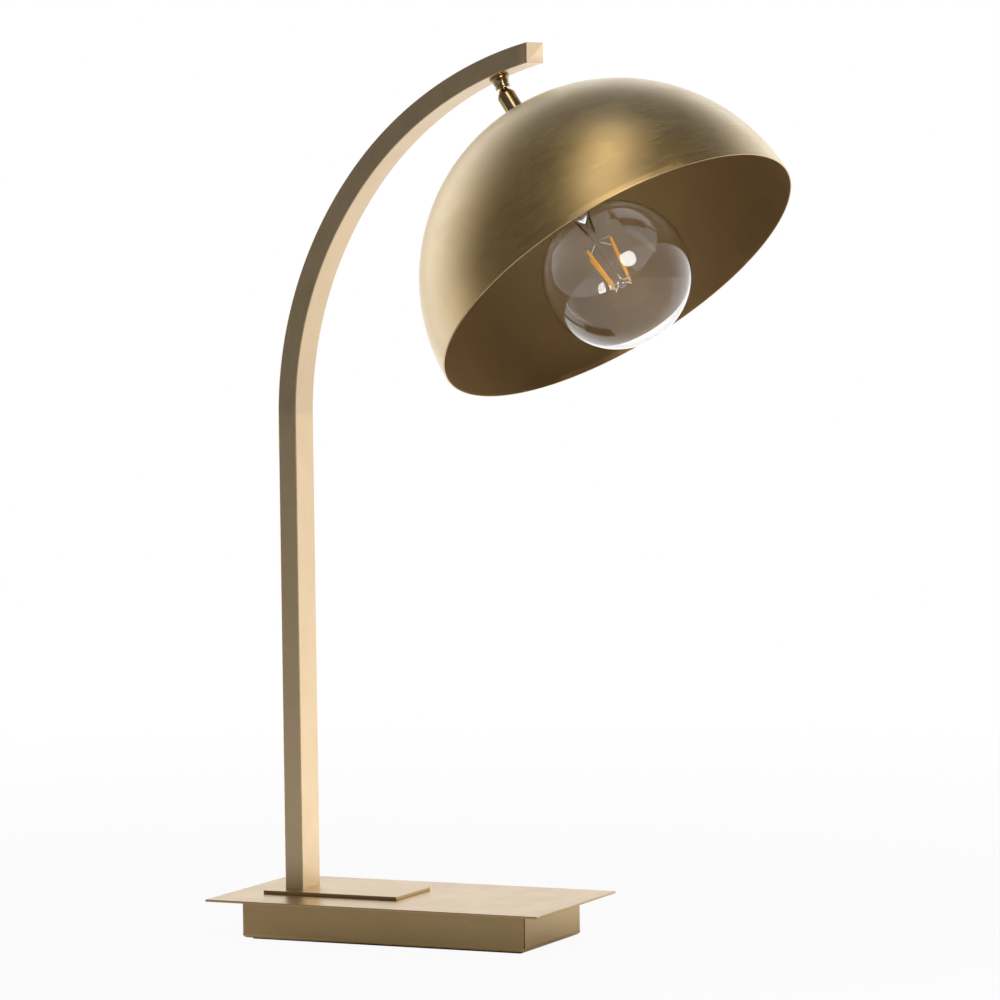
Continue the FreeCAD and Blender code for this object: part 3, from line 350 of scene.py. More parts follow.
class Nodes(Tree):
    """A material's node tree, built from its shader backwards."""

    def __init__(self, name):
        self.material = bpy.data.materials.new(name)
        self.material.use_nodes = True
        super().__init__(self.material.node_tree)
        self.shader = self.tree.nodes["Principled BSDF"]

    def place(self, scale=(1, 1, 1), frame=None):
        """Object coordinates, turned into a piece's own frame and stretched."""
        coordinates = self.add("ShaderNodeTexCoord")
        mapping = self.add("ShaderNodeMapping")
        if frame is None:
            self.link(coordinates.outputs["Object"], mapping.inputs["Vector"])
        else:
            turned = self.add("ShaderNodeMapping", vector_type="POINT")
            inverse = frame.inverted()
            turned.inputs["Location"].default_value = inverse.to_translation()
            turned.inputs["Rotation"].default_value = inverse.to_euler()
            self.link(coordinates.outputs["Object"], turned.inputs["Vector"])
            self.link(turned.outputs["Vector"], mapping.inputs["Vector"])
        mapping.inputs["Scale"].default_value = scale
        return mapping.outputs["Vector"]

    def noise(self, vector, scale, detail, roughness=0.55):
        noise = self.add("ShaderNodeTexNoise")
        noise.inputs["Scale"].default_value = scale
        noise.inputs["Detail"].default_value = detail
        noise.inputs["Roughness"].default_value = roughness
        self.link(vector, noise.inputs["Vector"])
        return noise.outputs["Fac"]

    def mixed(self, factor, first, second):
        """Blends two colours, each a colour or a socket."""
        mix = self.add("ShaderNodeMix", data_type="RGBA")
        self.link(factor, mix.inputs["Factor"])
        for socket, value in ((mix.inputs["A"], first), (mix.inputs["B"], second)):
            if isinstance(value, bpy.types.NodeSocket):
                self.link(value, socket)
            else:
                socket.default_value = (*value, 1.0)
        return mix.outputs["Result"]

    def bump(self, height, strength, distance, under=None):
        bump = self.add("ShaderNodeBump")
        bump.inputs["Strength"].default_value = strength
        bump.inputs["Distance"].default_value = distance
        self.link(height, bump.inputs["Height"])
        if under is not None:
            self.link(under, bump.inputs["Normal"])
        return bump.outputs["Normal"]

    def edges(self):
        """Where a surface bends outwards: the mask for the painted highlight along edges."""
        geometry = self.add("ShaderNodeNewGeometry")
        return self.ranged(geometry.outputs["Pointiness"], 0.0, 1.0, start=0.52, end=0.60)

    def set(self, **constants):
        for name, value in constants.items():
            self.shader.inputs[name.replace("_", " ")].default_value = value

    def finish(self, colour=None, roughness=None, normal=None):
        if colour is not None:
            self.link(colour, self.shader.inputs["Base Color"])
        if roughness is not None:
            self.link(roughness, self.shader.inputs["Roughness"])
        if normal is not None:
            self.link(normal, self.shader.inputs["Normal"])
        return self.material


def scaled(tint, times):
    """A colour made darker or paler."""
    return [min(1.0, c * times) for c in tint]


def satin_brass(name, light, dark, rough, grain, frame=None, coat=0.25, relief=0.16, rim=None):
    """Brushed and lacquered brass plating: grain holds the stretch of the brush lines.

    Where rim is given, the colour is painted towards rim where the surface is seen at a low angle:
    a painted reflection of the bright surroundings.
    """
    nodes = Nodes(name)
    lines = nodes.noise(nodes.place(grain, frame), 1.0, detail=3.0, roughness=0.6)
    drift = nodes.noise(nodes.place(frame=frame), 9.0, detail=3.0)
    blotch = nodes.noise(nodes.place(frame=frame), 55.0, detail=2.0)
    tone = nodes.mixed(nodes.ranged(drift, 0.0, 1.0), light, dark)
    lines_seen = nodes.ranged(lines, 0.0, 0.35, start=0.45, end=0.8)
    streaked = nodes.mixed(lines_seen, tone, scaled(light, 1.16))
    # Edges that bend outwards are painted paler: a painted highlight.
    with_painted_highlights = nodes.mixed(nodes.edges(), streaked, scaled(light, 1.3))
    if rim is not None:
        # Painted reflection: the colour turns towards rim where the surface is seen at a low
        # angle.
        facing = nodes.add("ShaderNodeLayerWeight")
        facing.inputs["Blend"].default_value = 0.5
        painted_reflection_mask = nodes.ranged(facing.outputs["Facing"], 0.0, 1.0, start=0.28, end=0.78)
        with_painted_highlights = nodes.mixed(painted_reflection_mask, with_painted_highlights, rim)
    brushed = nodes.ranged(lines, rough - 0.05, rough + 0.06)
    roughness = nodes.maths("ADD", brushed, nodes.ranged(blotch, -0.02, 0.03))
    nodes.set(Metallic=1.0, Coat_Weight=coat, Coat_Roughness=0.32, Coat_IOR=1.5)
    waves = nodes.bump(drift, 0.05, 0.0004)
    return nodes.finish(with_painted_highlights, roughness, nodes.bump(lines, relief, 0.00006, waves))


def polished_metal(name, tint, rough, frame=None):
    """Turned and polished metal, with the lathe's fine rings."""
    nodes = Nodes(name)
    rings = nodes.noise(nodes.place((20, 20, 2600), frame), 1.0, detail=2.0)
    film = nodes.noise(nodes.place(frame=frame), 240.0, detail=3.0)
    tone = nodes.mixed(nodes.ranged(film, 0.0, 1.0), tint, scaled(tint, 0.72))
    # Edges that bend outwards are painted paler: a painted highlight.
    with_painted_highlights = nodes.mixed(nodes.edges(), tone, scaled(tint, 1.25))
    nodes.set(Metallic=1.0)
    roughness = nodes.ranged(film, rough - 0.04, rough + 0.07)
    return nodes.finish(with_painted_highlights, roughness, nodes.bump(rings, 0.08, 0.00004))


def dull_solid(name, tint, rough, grain_scale, relief, depth=0.0002, sheen=0.0):
    """Paint, rubber, plastic, felt or porcelain: a fine grain over a slow drift of tone."""
    nodes = Nodes(name)
    grain = nodes.noise(nodes.place(), grain_scale, detail=5.0, roughness=0.65)
    drift = nodes.noise(nodes.place(), 60.0, detail=2.0)
    tone = nodes.mixed(nodes.ranged(drift, 0.0, 0.8), tint, scaled(tint, 0.78))
    grained = nodes.mixed(nodes.ranged(grain, 0.0, 0.3), tone, scaled(tint, 1.25))
    nodes.set(Sheen_Weight=sheen)
    roughness = nodes.ranged(grain, rough - 0.06, rough + 0.06)
    return nodes.finish(grained, roughness, nodes.bump(grain, relief, depth))


def clear_glass(name, tint):
    """Thin blown glass, with faint waves."""
    nodes = Nodes(name)
    waves = nodes.noise(nodes.place(), 38.0, detail=1.0)
    nodes.set(Transmission_Weight=1.0, IOR=1.46, Base_Color=(*tint, 1.0))
    return nodes.finish(None, nodes.ranged(waves, 0.0, 0.012), nodes.bump(waves, 0.05, 0.0003))


def amber_coating(name, tint):
    """The grainy, faintly glowing coating of a filament."""
    nodes = Nodes(name)
    grain = nodes.noise(nodes.place(), 1500.0, detail=3.0)
    red, green, blue = tint
    deep = (red * 0.8, green * 0.62, blue * 0.5)
    nodes.set(Emission_Color=(*tint, 1.0), Emission_Strength=0.35)
    tone = nodes.mixed(nodes.ranged(grain, 0.0, 1.0), tint, deep)
    return nodes.finish(tone, nodes.ranged(grain, 0.38, 0.55), nodes.bump(grain, 0.2, 0.00005))


BRUSHED_ALONG_X = (60, 2600, 2600)
BRUSHED_ALONG_Z = (2600, 2600, 60)
BRUSHED_ROUND_OUTSIDE = (70, 70, 1100)
BRUSHED_ROUND_INSIDE = (90, 90, 1500)
# Colour painted on the dome where it is seen at a low angle: a painted reflection of the bright
# surroundings.
DOME_GRAZING_REFLECTION = (0.86, 0.72, 0.49)
CAP_METAL = (0.72, 0.71, 0.69)
ZINC = (0.55, 0.55, 0.53)
SPRING_STEEL = (0.36, 0.36, 0.38)
IRON_PAINT = (0.05, 0.05, 0.052)
RUBBER = (0.03, 0.03, 0.031)
NYLON = (0.72, 0.72, 0.68)
WIRE_SLEEVE = (0.05, 0.05, 0.05)
BLACK_GLASS = (0.015, 0.015, 0.016)


def finish_for(kind):
    """Makes each of the lamp's finishes once."""
    if kind in MADE_FINISHES:
        return MADE_FINISHES[kind]
    f = bpy.context.scene.lamp_finishes
    rough = f.brass_rough
    makers = {
        "satin_brass_along_x": lambda: satin_brass(
            kind, f.brass, f.brass_dark, rough, BRUSHED_ALONG_X
        ),
        "box_brass_painted_shade": lambda: satin_brass(
            kind, f.box, scaled(f.box, 0.8), rough, BRUSHED_ALONG_X, coat=0.1
        ),
        "arm_brass_painted_light": lambda: satin_brass(
            kind, f.arm, scaled(f.arm, 0.86), rough + 0.04, BRUSHED_ALONG_Z
        ),
        "dome_brass": lambda: satin_brass(
            kind,
            f.dome,
            scaled(f.dome, 0.86),
            rough + 0.04,
            BRUSHED_ROUND_OUTSIDE,
            SHADE_FRAME,
            coat=0.2,
            relief=0.9,
            rim=DOME_GRAZING_REFLECTION,
        ),
        "dome_inside_painted_shade": lambda: satin_brass(
            kind,
            f.dome_inside_painted_shade,
            scaled(f.dome_inside_painted_shade, 0.85),
            0.62,
            BRUSHED_ROUND_INSIDE,
            SHADE_FRAME,
            coat=0.0,
        ),
        "turned_brass_stud": lambda: polished_metal(kind, f.turned, 0.14, STUD_FRAME),
        "turned_brass_shade": lambda: polished_metal(kind, f.turned, 0.14, SHADE_FRAME),
        "bulb_metal": lambda: polished_metal(kind, CAP_METAL, 0.24, SHADE_FRAME),
        "zinc_steel": lambda: polished_metal(kind, ZINC, 0.34),
        "spring_steel": lambda: polished_metal(kind, SPRING_STEEL, 0.3),
        "iron_paint": lambda: dull_solid(kind, IRON_PAINT, 0.55, 700.0, 0.3),
        "felt": lambda: dull_solid(kind, f.felt, 0.95, 2600.0, 0.8, depth=0.0004, sheen=0.4),
        "black_rubber": lambda: dull_solid(kind, RUBBER, 0.6, 1500.0, 0.15),
        "nylon": lambda: dull_solid(kind, NYLON, 0.42, 900.0, 0.1),
        "wire_sleeve": lambda: dull_solid(kind, WIRE_SLEEVE, 0.5, 1800.0, 0.2),
        "porcelain": lambda: dull_solid(kind, f.porcelain, 0.16, 300.0, 0.05),
        "black_glass": lambda: dull_solid(kind, BLACK_GLASS, 0.1, 300.0, 0.03),
        "clear_glass": lambda: clear_glass(kind, f.glass),
        "amber_coating": lambda: amber_coating(kind, f.filament),
    }
    MADE_FINISHES[kind] = makers[kind]()
    return MADE_FINISHES[kind]


# ---- shaping -----------------------------------------------------------------------------


def new_piece(name, bm, body, finishes, node, sharp=35.0, place=None):
    """Turns a bmesh into a piece that rides on a body and stands for one of its nodes."""
    if place is not None:
        bmesh.ops.transform(bm, matrix=place, verts=bm.verts)
    mesh = bpy.data.meshes.new(name)
    bm.to_mesh(mesh)
    bm.free()
    mesh.shade_smooth()
    mesh.set_sharp_from_angle(angle=math.radians(sharp))
    piece = bpy.data.objects.new(name, mesh)
    bpy.context.scene.collection.objects.link(piece)
    for kind in finishes:
        mesh.materials.append(finish_for(kind))
    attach(piece, body)
    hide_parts(node)
    weighted = piece.modifiers.new("even_shading", "WEIGHTED_NORMAL")
    weighted.keep_sharp = True


def chain(bm, points):
    """An open line of edges through points given as (radius, height)."""
    verts = [bm.verts.new((r, 0, z)) for r, z in points]
    edges = [bm.edges.new(pair) for pair in zip(verts, verts[1:])]
    return verts, edges


def arc_points(centre, radius, start, end, steps):
    """Points of an arc in the profile plane, as (radius, height)."""
    span = [start + (end - start) * i / steps for i in range(steps + 1)]
    return [(centre[0] + radius * math.cos(a), centre[1] + radius * math.sin(a)) for a in span]


def spin(bm, geometry, centre, axis, turn, steps, merge=False):
    return bmesh.ops.spin(
        bm,
        geom=geometry,
        cent=centre,
        axis=axis,
        dvec=(0, 0, 0),
        angle=turn,
        steps=steps,
        use_merge=merge,
        use_duplicate=False,
    )


def spun(points, steps=96, closed=True):
    """A turned shape about Z from a profile."""
    bm = bmesh.new()
    loop = [*points, points[0]] if closed else points
    verts, edges = chain(bm, loop)
    spin(bm, [*verts, *edges], (0, 0, 0), (0, 0, 1), 2 * math.pi, steps, merge=True)
    bmesh.ops.remove_doubles(bm, verts=bm.verts, dist=1e-7)
    bmesh.ops.recalc_face_normals(bm, faces=bm.faces)
    return bm


def bevel(bm, geometry, width, segments, affect="EDGES", clamp=True):
    bmesh.ops.bevel(
        bm,
        geom=geometry,
        offset=width,
        segments=segments,
        profile=0.5,
        affect=affect,
        clamp_overlap=clamp,
        material=-1,
    )


def ease_edges(bm, width):
    """Rounds every sharp edge."""
    limit = math.radians(30)
    sharp = [e for e in bm.edges if len(e.link_faces) == 2 and e.calc_face_angle(0.0) > limit]
    bevel(bm, sharp, width, 2)
    return bm


def turned_piece(name, profile, ease, body, node, axis="shade"):
    """A polished piece that is spun about the axis of the stud or of the shade."""
    bm = ease_edges(spun(profile), ease)
    place = {"stud": STUD_FRAME, "shade": SHADE_FRAME}[axis]
    new_piece(name, bm, body, ["turned_brass_" + axis], node, place=place)


def block_between(low, high):
    bm = bmesh.new()
    bmesh.ops.create_cube(bm, size=1.0)
    size = Vector(high) - Vector(low)
    bmesh.ops.scale(bm, vec=size, verts=bm.verts)
    bmesh.ops.translate(bm, vec=(Vector(high) + Vector(low)) / 2, verts=bm.verts)
    return bm


def rod(bm, start, end, radius, steps, rounded=False):
    """Adds a round bar between two points."""
    way = end - start
    turn = way.to_track_quat("Z", "Y").to_matrix().to_4x4()
    place = Matrix.Translation((start + end) / 2) @ turn
    made = bmesh.ops.create_cone(
        bm,
        cap_ends=True,
        segments=steps,
        radius1=radius,
        radius2=radius,
        depth=way.length,
        matrix=place,
    )
    if rounded:
        rims = {e for v in made["verts"] for e in v.link_edges if len(e.link_faces) == 2}
        ends = [e for e in rims if e.calc_face_angle(0.0) > math.radians(60)]
        bevel(bm, ends, radius * 0.6, 3, clamp=False)


# ---- the arm's tube ----------------------------------------------------------------------


def rounded_section(arm):
    """The tube's outline with rounded corners, as an edge ring on the foot plate."""
    bm = bmesh.new()
    half_deep, half_wide = arm.deep / 2, arm.wide / 2
    corners = ((-1, -1), (1, -1), (1, 1), (-1, 1))
    verts = [
        bm.verts.new((arm.place + x * half_deep, y * half_wide, arm.foot)) for x, y in corners
    ]
    bm.faces.new(verts)
    bevel(bm, list(bm.verts), arm.corner, 3, affect="VERTICES", clamp=False)
    bmesh.ops.delete(bm, geom=list(bm.faces), context="FACES_ONLY")
    return bm


def swept_skin(arm):
    """The arm's outer skin: an upright and two tangent bends."""
    bm = rounded_section(arm)
    made = bmesh.ops.extrude_edge_only(bm, edges=list(bm.edges))
    top = [g for g in made["geom"] if isinstance(g, bmesh.types.BMVert)]
    bmesh.ops.translate(bm, vec=(0, 0, arm.straight - arm.foot), verts=top)
    ring = [g for g in made["geom"] if not isinstance(g, bmesh.types.BMFace)]
    first = Vector((arm.place + arm.low_rad, 0, arm.straight))
    change = arm.high_rad - arm.low_rad
    second = first + Vector((math.cos(arm.low_turn), 0, -math.sin(arm.low_turn))) * change
    bends = ((first, arm.low_turn, 40), (second, arm.high_turn - arm.low_turn, 44))
    for centre, turn, steps in bends:
        ring = spin(bm, ring, centre, (0, 1, 0), turn, steps)["geom_last"]
    return bm


def cut_upright(bm, place, keep_left):
    """Cuts with an upright plane across X and drops one side."""
    bmesh.ops.bisect_plane(
        bm,
        geom=[*bm.verts, *bm.edges, *bm.faces],
        plane_co=(place, 0, 0),
        plane_no=(1, 0, 0),
        clear_outer=keep_left,
        clear_inner=not keep_left,
    )


# ---- operators ---------------------------------------------------------------------------


class LAMP_OT_base(bpy.types.Operator):
    """Make the folded box, the overhanging top plate, the foot plate and the felt"""

    bl_idname = "lamp.make_base"
    bl_label = "Base"

    def execute(self, context):
        sizes = context.scene.lamp_base
        for node in ("base_top_plate", "foot_plate"):
            bm = ease_edges(block_between(*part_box(node)), sizes.plate_ease)
            kinds = ["satin_brass_along_x"]
            new_piece(node + "_skin", bm, "stand", kinds, node)
        self.folded_box(sizes)
        felt = ease_edges(block_between(*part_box("base_pad")), sizes.plate_ease)
        new_piece("base_felt", felt, "stand", ["felt"], "base_pad")
        self.grommet(sizes)
        return {"FINISHED"}

    def folded_box(self, sizes):
        """A pan with its walls folded up: each corner's middle strip is left open as a seam."""
        low, high = (Vector(v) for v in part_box("base_box"))
        bm = block_between(low, high)
        top = [f for f in bm.faces if f.normal.z > 0.5]
        bmesh.ops.delete(bm, geom=top, context="FACES_ONLY")
        floor = [e for e in bm.edges if max(v.co.z for v in e.verts) < low.z + 1e-6]
        bevel(bm, floor, sizes.box_bend, 6)
        wall_high = high.z - low.z
        upright = [
            e for e in bm.edges if e.calc_length() > wall_high * 0.6 and self.is_upright(e)
        ]
        strips = 3
        strip_turn = math.radians(90 / strips)
        bevel(bm, upright, sizes.seam_gap / (2 * math.sin(strip_turn / 2)), strips)
        bm.normal_update()
        seams = [f for f in bm.faces if self.is_corner_strip(f.normal)]
        bmesh.ops.delete(bm, geom=seams, context="FACES")
        bmesh.ops.solidify(bm, geom=list(bm.faces), thickness=sizes.box_sheet)
        new_piece("base_folded_box", bm, "stand", ["box_brass_painted_shade"], "base_box")

    @staticmethod
    def is_upright(edge):
        way = edge.verts[1].co - edge.verts[0].co
        return abs(way.z) > 0.99 * way.length

    @staticmethod
    def is_corner_strip(normal):
        """The middle strip of a corner faces level and at 45 degrees to both walls."""
        return abs(abs(normal.x) - abs(normal.y)) < 0.01 and abs(normal.z) < 0.01

    def grommet(self, sizes):
        low, high = (Vector(v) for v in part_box("cord_grommet"))
        bore, neck, flange = sizes.grommet_bore, sizes.grommet_neck, sizes.grommet_flange
        thick = sizes.grommet_thick
        deep = high.y - low.y
        profile = [
            (bore, 0),
            (flange, 0),
            (flange, thick),
            (neck, thick),
            (neck, deep - thick),
            (flange, deep - thick),
            (flange, deep),
            (bore, deep),
        ]
        bm = ease_edges(spun(profile, 64), RUBBER_EASE)
        middle = (low + high) / 2
        turn = Matrix.Rotation(math.radians(-90), 4, "X")
        new_piece(
            "cord_grommet_ring",
            bm,
            "stand",
            ["black_rubber"],
            "cord_grommet",
            place=Matrix.Translation((middle.x, low.y, middle.z)) @ turn,
        )


class LAMP_OT_arm(bpy.types.Operator):
    """Make the bent rectangular tube and the plate that closes its tip"""

    bl_idname = "lamp.make_arm"
    bl_label = "Arm"

    def execute(self, context):
        arm = context.scene.lamp_arm
        tube = swept_skin(arm)
        cut_upright(tube, arm.tip - arm.cap, True)
        bmesh.ops.recalc_face_normals(tube, faces=tube.faces)
        self.face_outwards(tube)
        bmesh.ops.solidify(tube, geom=list(tube.faces), thickness=arm.wall)
        new_piece("arm_bent_tube", tube, "stand", ["arm_brass_painted_light"], "arm_tube")
        self.tip_plate(arm)
        return {"FINISHED"}

    @staticmethod
    def face_outwards(bm):
        """The skin is open at both ends, so its left wall tells which way it faces."""
        wall = min(bm.faces, key=lambda f: f.calc_center_median().x)
        if wall.normal.x > 0:
            bmesh.ops.reverse_faces(bm, faces=bm.faces)

    @staticmethod
    def tip_plate(arm):
        bm = swept_skin(arm)
        cut_upright(bm, arm.tip - arm.cap, False)
        cut_upright(bm, arm.tip, True)
        bmesh.ops.holes_fill(bm, edges=[e for e in bm.edges if len(e.link_faces) == 1], sides=0)
        bmesh.ops.recalc_face_normals(bm, faces=bm.faces)
        ahead = [e for e in bm.edges if min(v.co.x for v in e.verts) > arm.tip - 1e-5]
        rim = [e for e in ahead if e.calc_face_angle(0.0) > math.radians(40)]
        bevel(bm, rim, TIP_EASE, 3)
        new_piece("arm_tip_plate", bm, "stand", ["arm_brass_painted_light"], "arm_end_cap")


class LAMP_OT_ball_joint(bpy.types.Operator):
    """Make the cup under the arm, the ball stud and the barrel on the dome"""

    bl_idname = "lamp.make_ball_joint"
    bl_label = "Ball joint"

    def execute(self, context):
        s = context.scene.lamp_joint
        self.cup(s)
        self.stud(s)
        self.barrel(s)
        return {"FINISHED"}

    def cup(self, s):
        """A hollow-sided flare with a rolled lip at the top."""
        swell = s.cup_top - s.cup_low
        rise = s.cup_roof - CUP_LIP - s.cup_foot
        steps = (0.0, 0.2, 0.4, 0.6, 0.75, 0.88, 1.0)
        side = [(s.cup_low + swell * t**2.2, s.cup_foot + rise * t) for t in steps]
        bore = s.shaft + FIT
        profile = [(bore, s.cup_foot), *side, (s.cup_top, s.cup_roof), (bore, s.cup_roof)]
        turned_piece("swivel_cup_turned", profile, CUP_EASE, "stand", "swivel_cup", "stud")

    def stud(self, s):
        """The ball on its neck, and the ring with a fine groove round it."""
        start = math.asin(s.neck / s.ball)
        flat = 0.33
        ball = arc_points((0, 0), s.ball, math.pi / 2 - start, -math.pi / 2 + flat, 24)
        middle = (s.ring_low + s.ring_high) / 2
        profile = [
            (s.ball * math.sin(flat), s.stud_top),
            (s.shaft, s.stud_top),
            (s.shaft, s.ring_high),
            (s.ring, s.ring_high),
            (s.ring, middle + GROOVE),
            (s.ring - GROOVE, middle),
            (s.ring, middle - GROOVE),
            (s.ring, s.ring_low),
            (s.neck, s.ring_low),
            *ball,
        ]
        turned_piece("ball_stud_turned", profile, STUD_EASE, "swivel_stud", "ball_stud", "stud")

    def barrel(self, s):
        """A cone over a plain barrel, with the ball's socket in it."""
        shoulder = s.barrel_top - s.barrel_cone
        foot = -s.dome_drop - BARREL_SKIRT
        inner = s.ball + FIT
        mouth = math.sqrt(inner**2 - s.barrel_top**2)
        bore = s.barrel - BARREL_WALL
        profile = [
            (mouth, s.barrel_top),
            (s.barrel_mouth, s.barrel_top),
            (s.barrel, shoulder),
            (s.barrel, foot),
            (bore, foot),
            (bore, -SOCKET_STEP),
            (inner, 0.0),
        ]
        turned_piece("swivel_barrel_turned", profile, BARREL_EASE, "shade", "swivel_barrel")


class LAMP_OT_shade(bpy.types.Operator):
    """Make the spun dome and the lampholder inside it"""

    bl_idname = "lamp.make_shade"
    bl_label = "Shade"

    def execute(self, context):
        s = context.scene.lamp_shade
        drop = context.scene.lamp_joint.dome_drop
        self.dome(s, -drop - s.radius)
        self.holder(s)
        return {"FINISHED"}

    def dome(self, s, middle):
        """A half globe of sheet with a rolled rim, brushed round its axis on both sides."""
        inner = s.radius - s.wall
        top = math.acos(s.hole / s.radius)
        edge = s.wall / 2
        lip = arc_points((s.radius - edge, middle + edge), edge, 0.0, -math.pi, 6)
        outside = arc_points((0, middle), s.radius, top, math.asin(edge / s.radius), 90)
        under_top = math.acos(s.hole / inner)
        inside = arc_points((0, middle), inner, math.asin(edge / inner), under_top, 90)
        bm = spun([*outside, *lip, *inside], 256)
        centre = Vector((0, 0, middle))
        # Faces inside get the second, darker finish: painted shade inside the dome.
        for face in bm.faces:
            away = (face.calc_center_median() - centre).length
            face.material_index = 1 if away < s.radius - s.wall * 0.8 else 0
        new_piece(
            "dome_spun_shade",
            bm,
            "shade",
            ["dome_brass", "dome_inside_painted_shade"],
            "dome_shade",
            sharp=50.0,
            place=SHADE_FRAME,
        )

    def holder(self, s):
        start, split, end = -s.holder_start, -s.holder_split, -s.holder_end
        inner = s.holder - s.holder_wall
        shoulder = (s.holder * 0.86, start + (split - start) * 0.35)
        skirt, roof = split + HOLDER_SKIRT, start - s.holder_wall
        cap = [
            (NIPPLE, start),
            (s.holder_top, start),
            shoulder,
            (s.holder, skirt),
            (s.holder, split),
            (inner, split),
            (inner, skirt),
            (s.holder_top - s.holder_wall, roof),
            (NIPPLE, roof),
        ]
        turned_piece("lampholder_cap_turned", cap, HOLDER_EASE, "shade", "lampholder_cap")
        lip = end + s.holder_wall
        body = [
            (s.holder_mouth, end),
            (s.holder, end),
            (s.holder, split - HOLDER_SEAM),
            (s.holder - HOLDER_SEAM, split),
            (inner, split),
            (inner, lip),
            (s.holder_mouth, lip),
        ]
        turned_piece("lampholder_body_turned", body, HOLDER_EASE, "shade", "lampholder_body")


class LAMP_OT_bulb(bpy.types.Operator):
    """Make the clear globe bulb with its cap, stem, filaments and wires"""

    bl_idname = "lamp.make_bulb"
    bl_label = "Bulb"

    def execute(self, context):
        b = context.scene.lamp_bulb
        shade = context.scene.lamp_shade
        drop = context.scene.lamp_joint.dome_drop
        place = SHADE_FRAME @ Matrix.Translation((0, 0, -drop - shade.radius + b.globe_back))
        self.glass(b, place)
        self.cap(b, place)
        self.stem(b, place)
        self.filaments(b, place)
        return {"FINISHED"}

    @staticmethod
    def piece(place, name, bm, kind, slot, node, sharp=35.0):
        new_piece(name, bm, "shade", [kind], node, sharp, place)

    @staticmethod
    def glass_profile(b, inset):
        """Globe, hollow curve and neck, set in from the outer face."""
        globe, fillet, neck = b.globe - inset, b.fillet + inset, b.neck - inset
        side = b.neck + b.fillet
        rise = math.sqrt((b.globe + b.fillet) ** 2 - side**2)
        lean = math.atan2(rise, side)
        crown = arc_points((0, 0), globe, -math.pi / 2, lean, 72)
        hollow = arc_points((side, rise), fillet, math.pi + lean, math.pi, 12)
        tail = b.tail - inset
        foot = [(neck, b.neck_end), (tail, b.shoulder), (tail, b.glass_end)]
        return [(0.0, -globe), *crown[1:], *hollow[1:], *foot]

    def glass(self, b, place):
        outer = self.glass_profile(b, 0.0)
        inner = self.glass_profile(b, b.glass)
        bm = spun([*outer, *reversed(inner)], 160, closed=False)
        self.piece(place, "bulb_globe_glass", bm, "clear_glass", "clear_glass", "bulb_globe", 60.0)

    def cap(self, b, place):
        """The rolled thread is a row of rings below a plain collar."""
        start = b.cap_start + CAP_COLLAR
        waves = int((b.cap_end - start) / b.thread_pitch)
        steps = 8

        def side(radius):
            points = [(radius, b.cap_start)]
            for i in range(waves * steps + 1):
                depth = b.thread_deep * (0.5 - 0.5 * math.cos(2 * math.pi * i / steps))
                points.append((radius - depth, start + i * b.thread_pitch / steps))
            return [*points, (radius - CAP_TAPER, b.cap_end)]

        profile = [*side(b.cap), *reversed(side(b.cap - b.cap_wall))]
        bm = spun(profile, 72)
        self.piece(place, "bulb_cap_rolled", bm, "bulb_metal", "bulb_metal", "bulb_cap", 70.0)

    def stem(self, b, place):
        """A glass rod with a bead at its tip, which is pinched flat and flares to the cap."""
        r, tip, press = b.stem, -b.stem_tip, b.stem_press
        bead = arc_points((0, tip + r * 1.05), r * 1.05, -math.pi / 2, 0.0, 8)
        profile = [
            *bead,
            (r * 0.78, tip + r * 2.0),
            (r * 0.74, press - 0.004),
            (r * 1.2, press),
            (r * 1.5, press + 0.004),
            (r * 1.9, press + 0.009),
            (b.stem_flare_rad, b.stem_flare),
            (b.stem_flare_rad - 0.0012, b.stem_flare),
            (r * 1.1, press + 0.011),
            (0.0, press + 0.006),
        ]
        bm = spun(profile, 48, closed=False)
        self.piece(place, "bulb_stem_glass", bm, "clear_glass", "clear_glass", "bulb_stem", 80.0)

    def filaments(self, b, place):
        """Sloping sticks in metal clips, with a support wire from each end to the stem."""
        sticks, wires = bmesh.new(), bmesh.new()
        clip = b.filament * 0.55
        for index in range(b.filament_count):
            turn = b.filament_turn + index * 2 * math.pi / b.filament_count
            side = Vector((math.cos(turn), math.sin(turn), 0))
            low = side * b.filament_low_rad - Vector((0, 0, b.filament_low))
            top = side * b.filament_top_rad + Vector((0, 0, b.filament_top))
            way = (top - low).normalized()
            inward, outward = way * CLIP_INSIDE, way * CLIP_OUTSIDE
            rod(sticks, low + inward, top - inward, b.filament, 14, rounded=True)
            hold = side * (b.stem * 0.8) + Vector((0, 0, b.wire_hold))
            under = side * (b.stem * 0.7) - Vector((0, 0, b.wire_foot))
            rod(wires, top - inward, top + outward, clip, 8)
            rod(wires, low - outward, low + inward, clip, 8)
            rod(wires, top, hold, b.wire, 8)
            rod(wires, low, under, b.wire, 8)
        coat, slot = "amber_coating", "amber_phosphor"
        self.piece(place, "bulb_filament_sticks", sticks, coat, slot, "bulb_filaments")
        self.piece(place, "bulb_filament_wires", wires, "bulb_metal", "zinc_steel", "bulb_wires")


INNER_FINISHES = {
    "iron_paint": ("ballast_weight",),
    "zinc_steel": (
        "plate_studs",
        "sleeve_nuts",
        "arm_foot_insert",
        "arm_screws",
        "stud_nut",
        "threaded_nipple",
        "shade_washer",
        "shade_nut",
    ),
    "nylon": ("terminal_block", "ball_seat"),
    "wire_sleeve": ("arm_lead", "swivel_lead", "shade_lead"),
    "spring_steel": ("spring_washer",),
    "porcelain": ("lampholder_core",),
    "bulb_metal": ("lampholder_screw_shell", "bulb_tip"),
    "turned_brass_shade": ("centre_contact",),
    "black_glass": ("bulb_insulator",),
}


class LAMP_OT_inner_parts(bpy.types.Operator):
    """Finish the weight, fasteners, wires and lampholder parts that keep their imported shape"""

    bl_idname = "lamp.finish_inner_parts"
    bl_label = "Inner parts"

    def execute(self, context):
        for kind, names in INNER_FINISHES.items():
            for name in names:
                materials = frame["nodes"][name].data.materials
                materials.clear()
                materials.append(finish_for(kind))
        return {"FINISHED"}


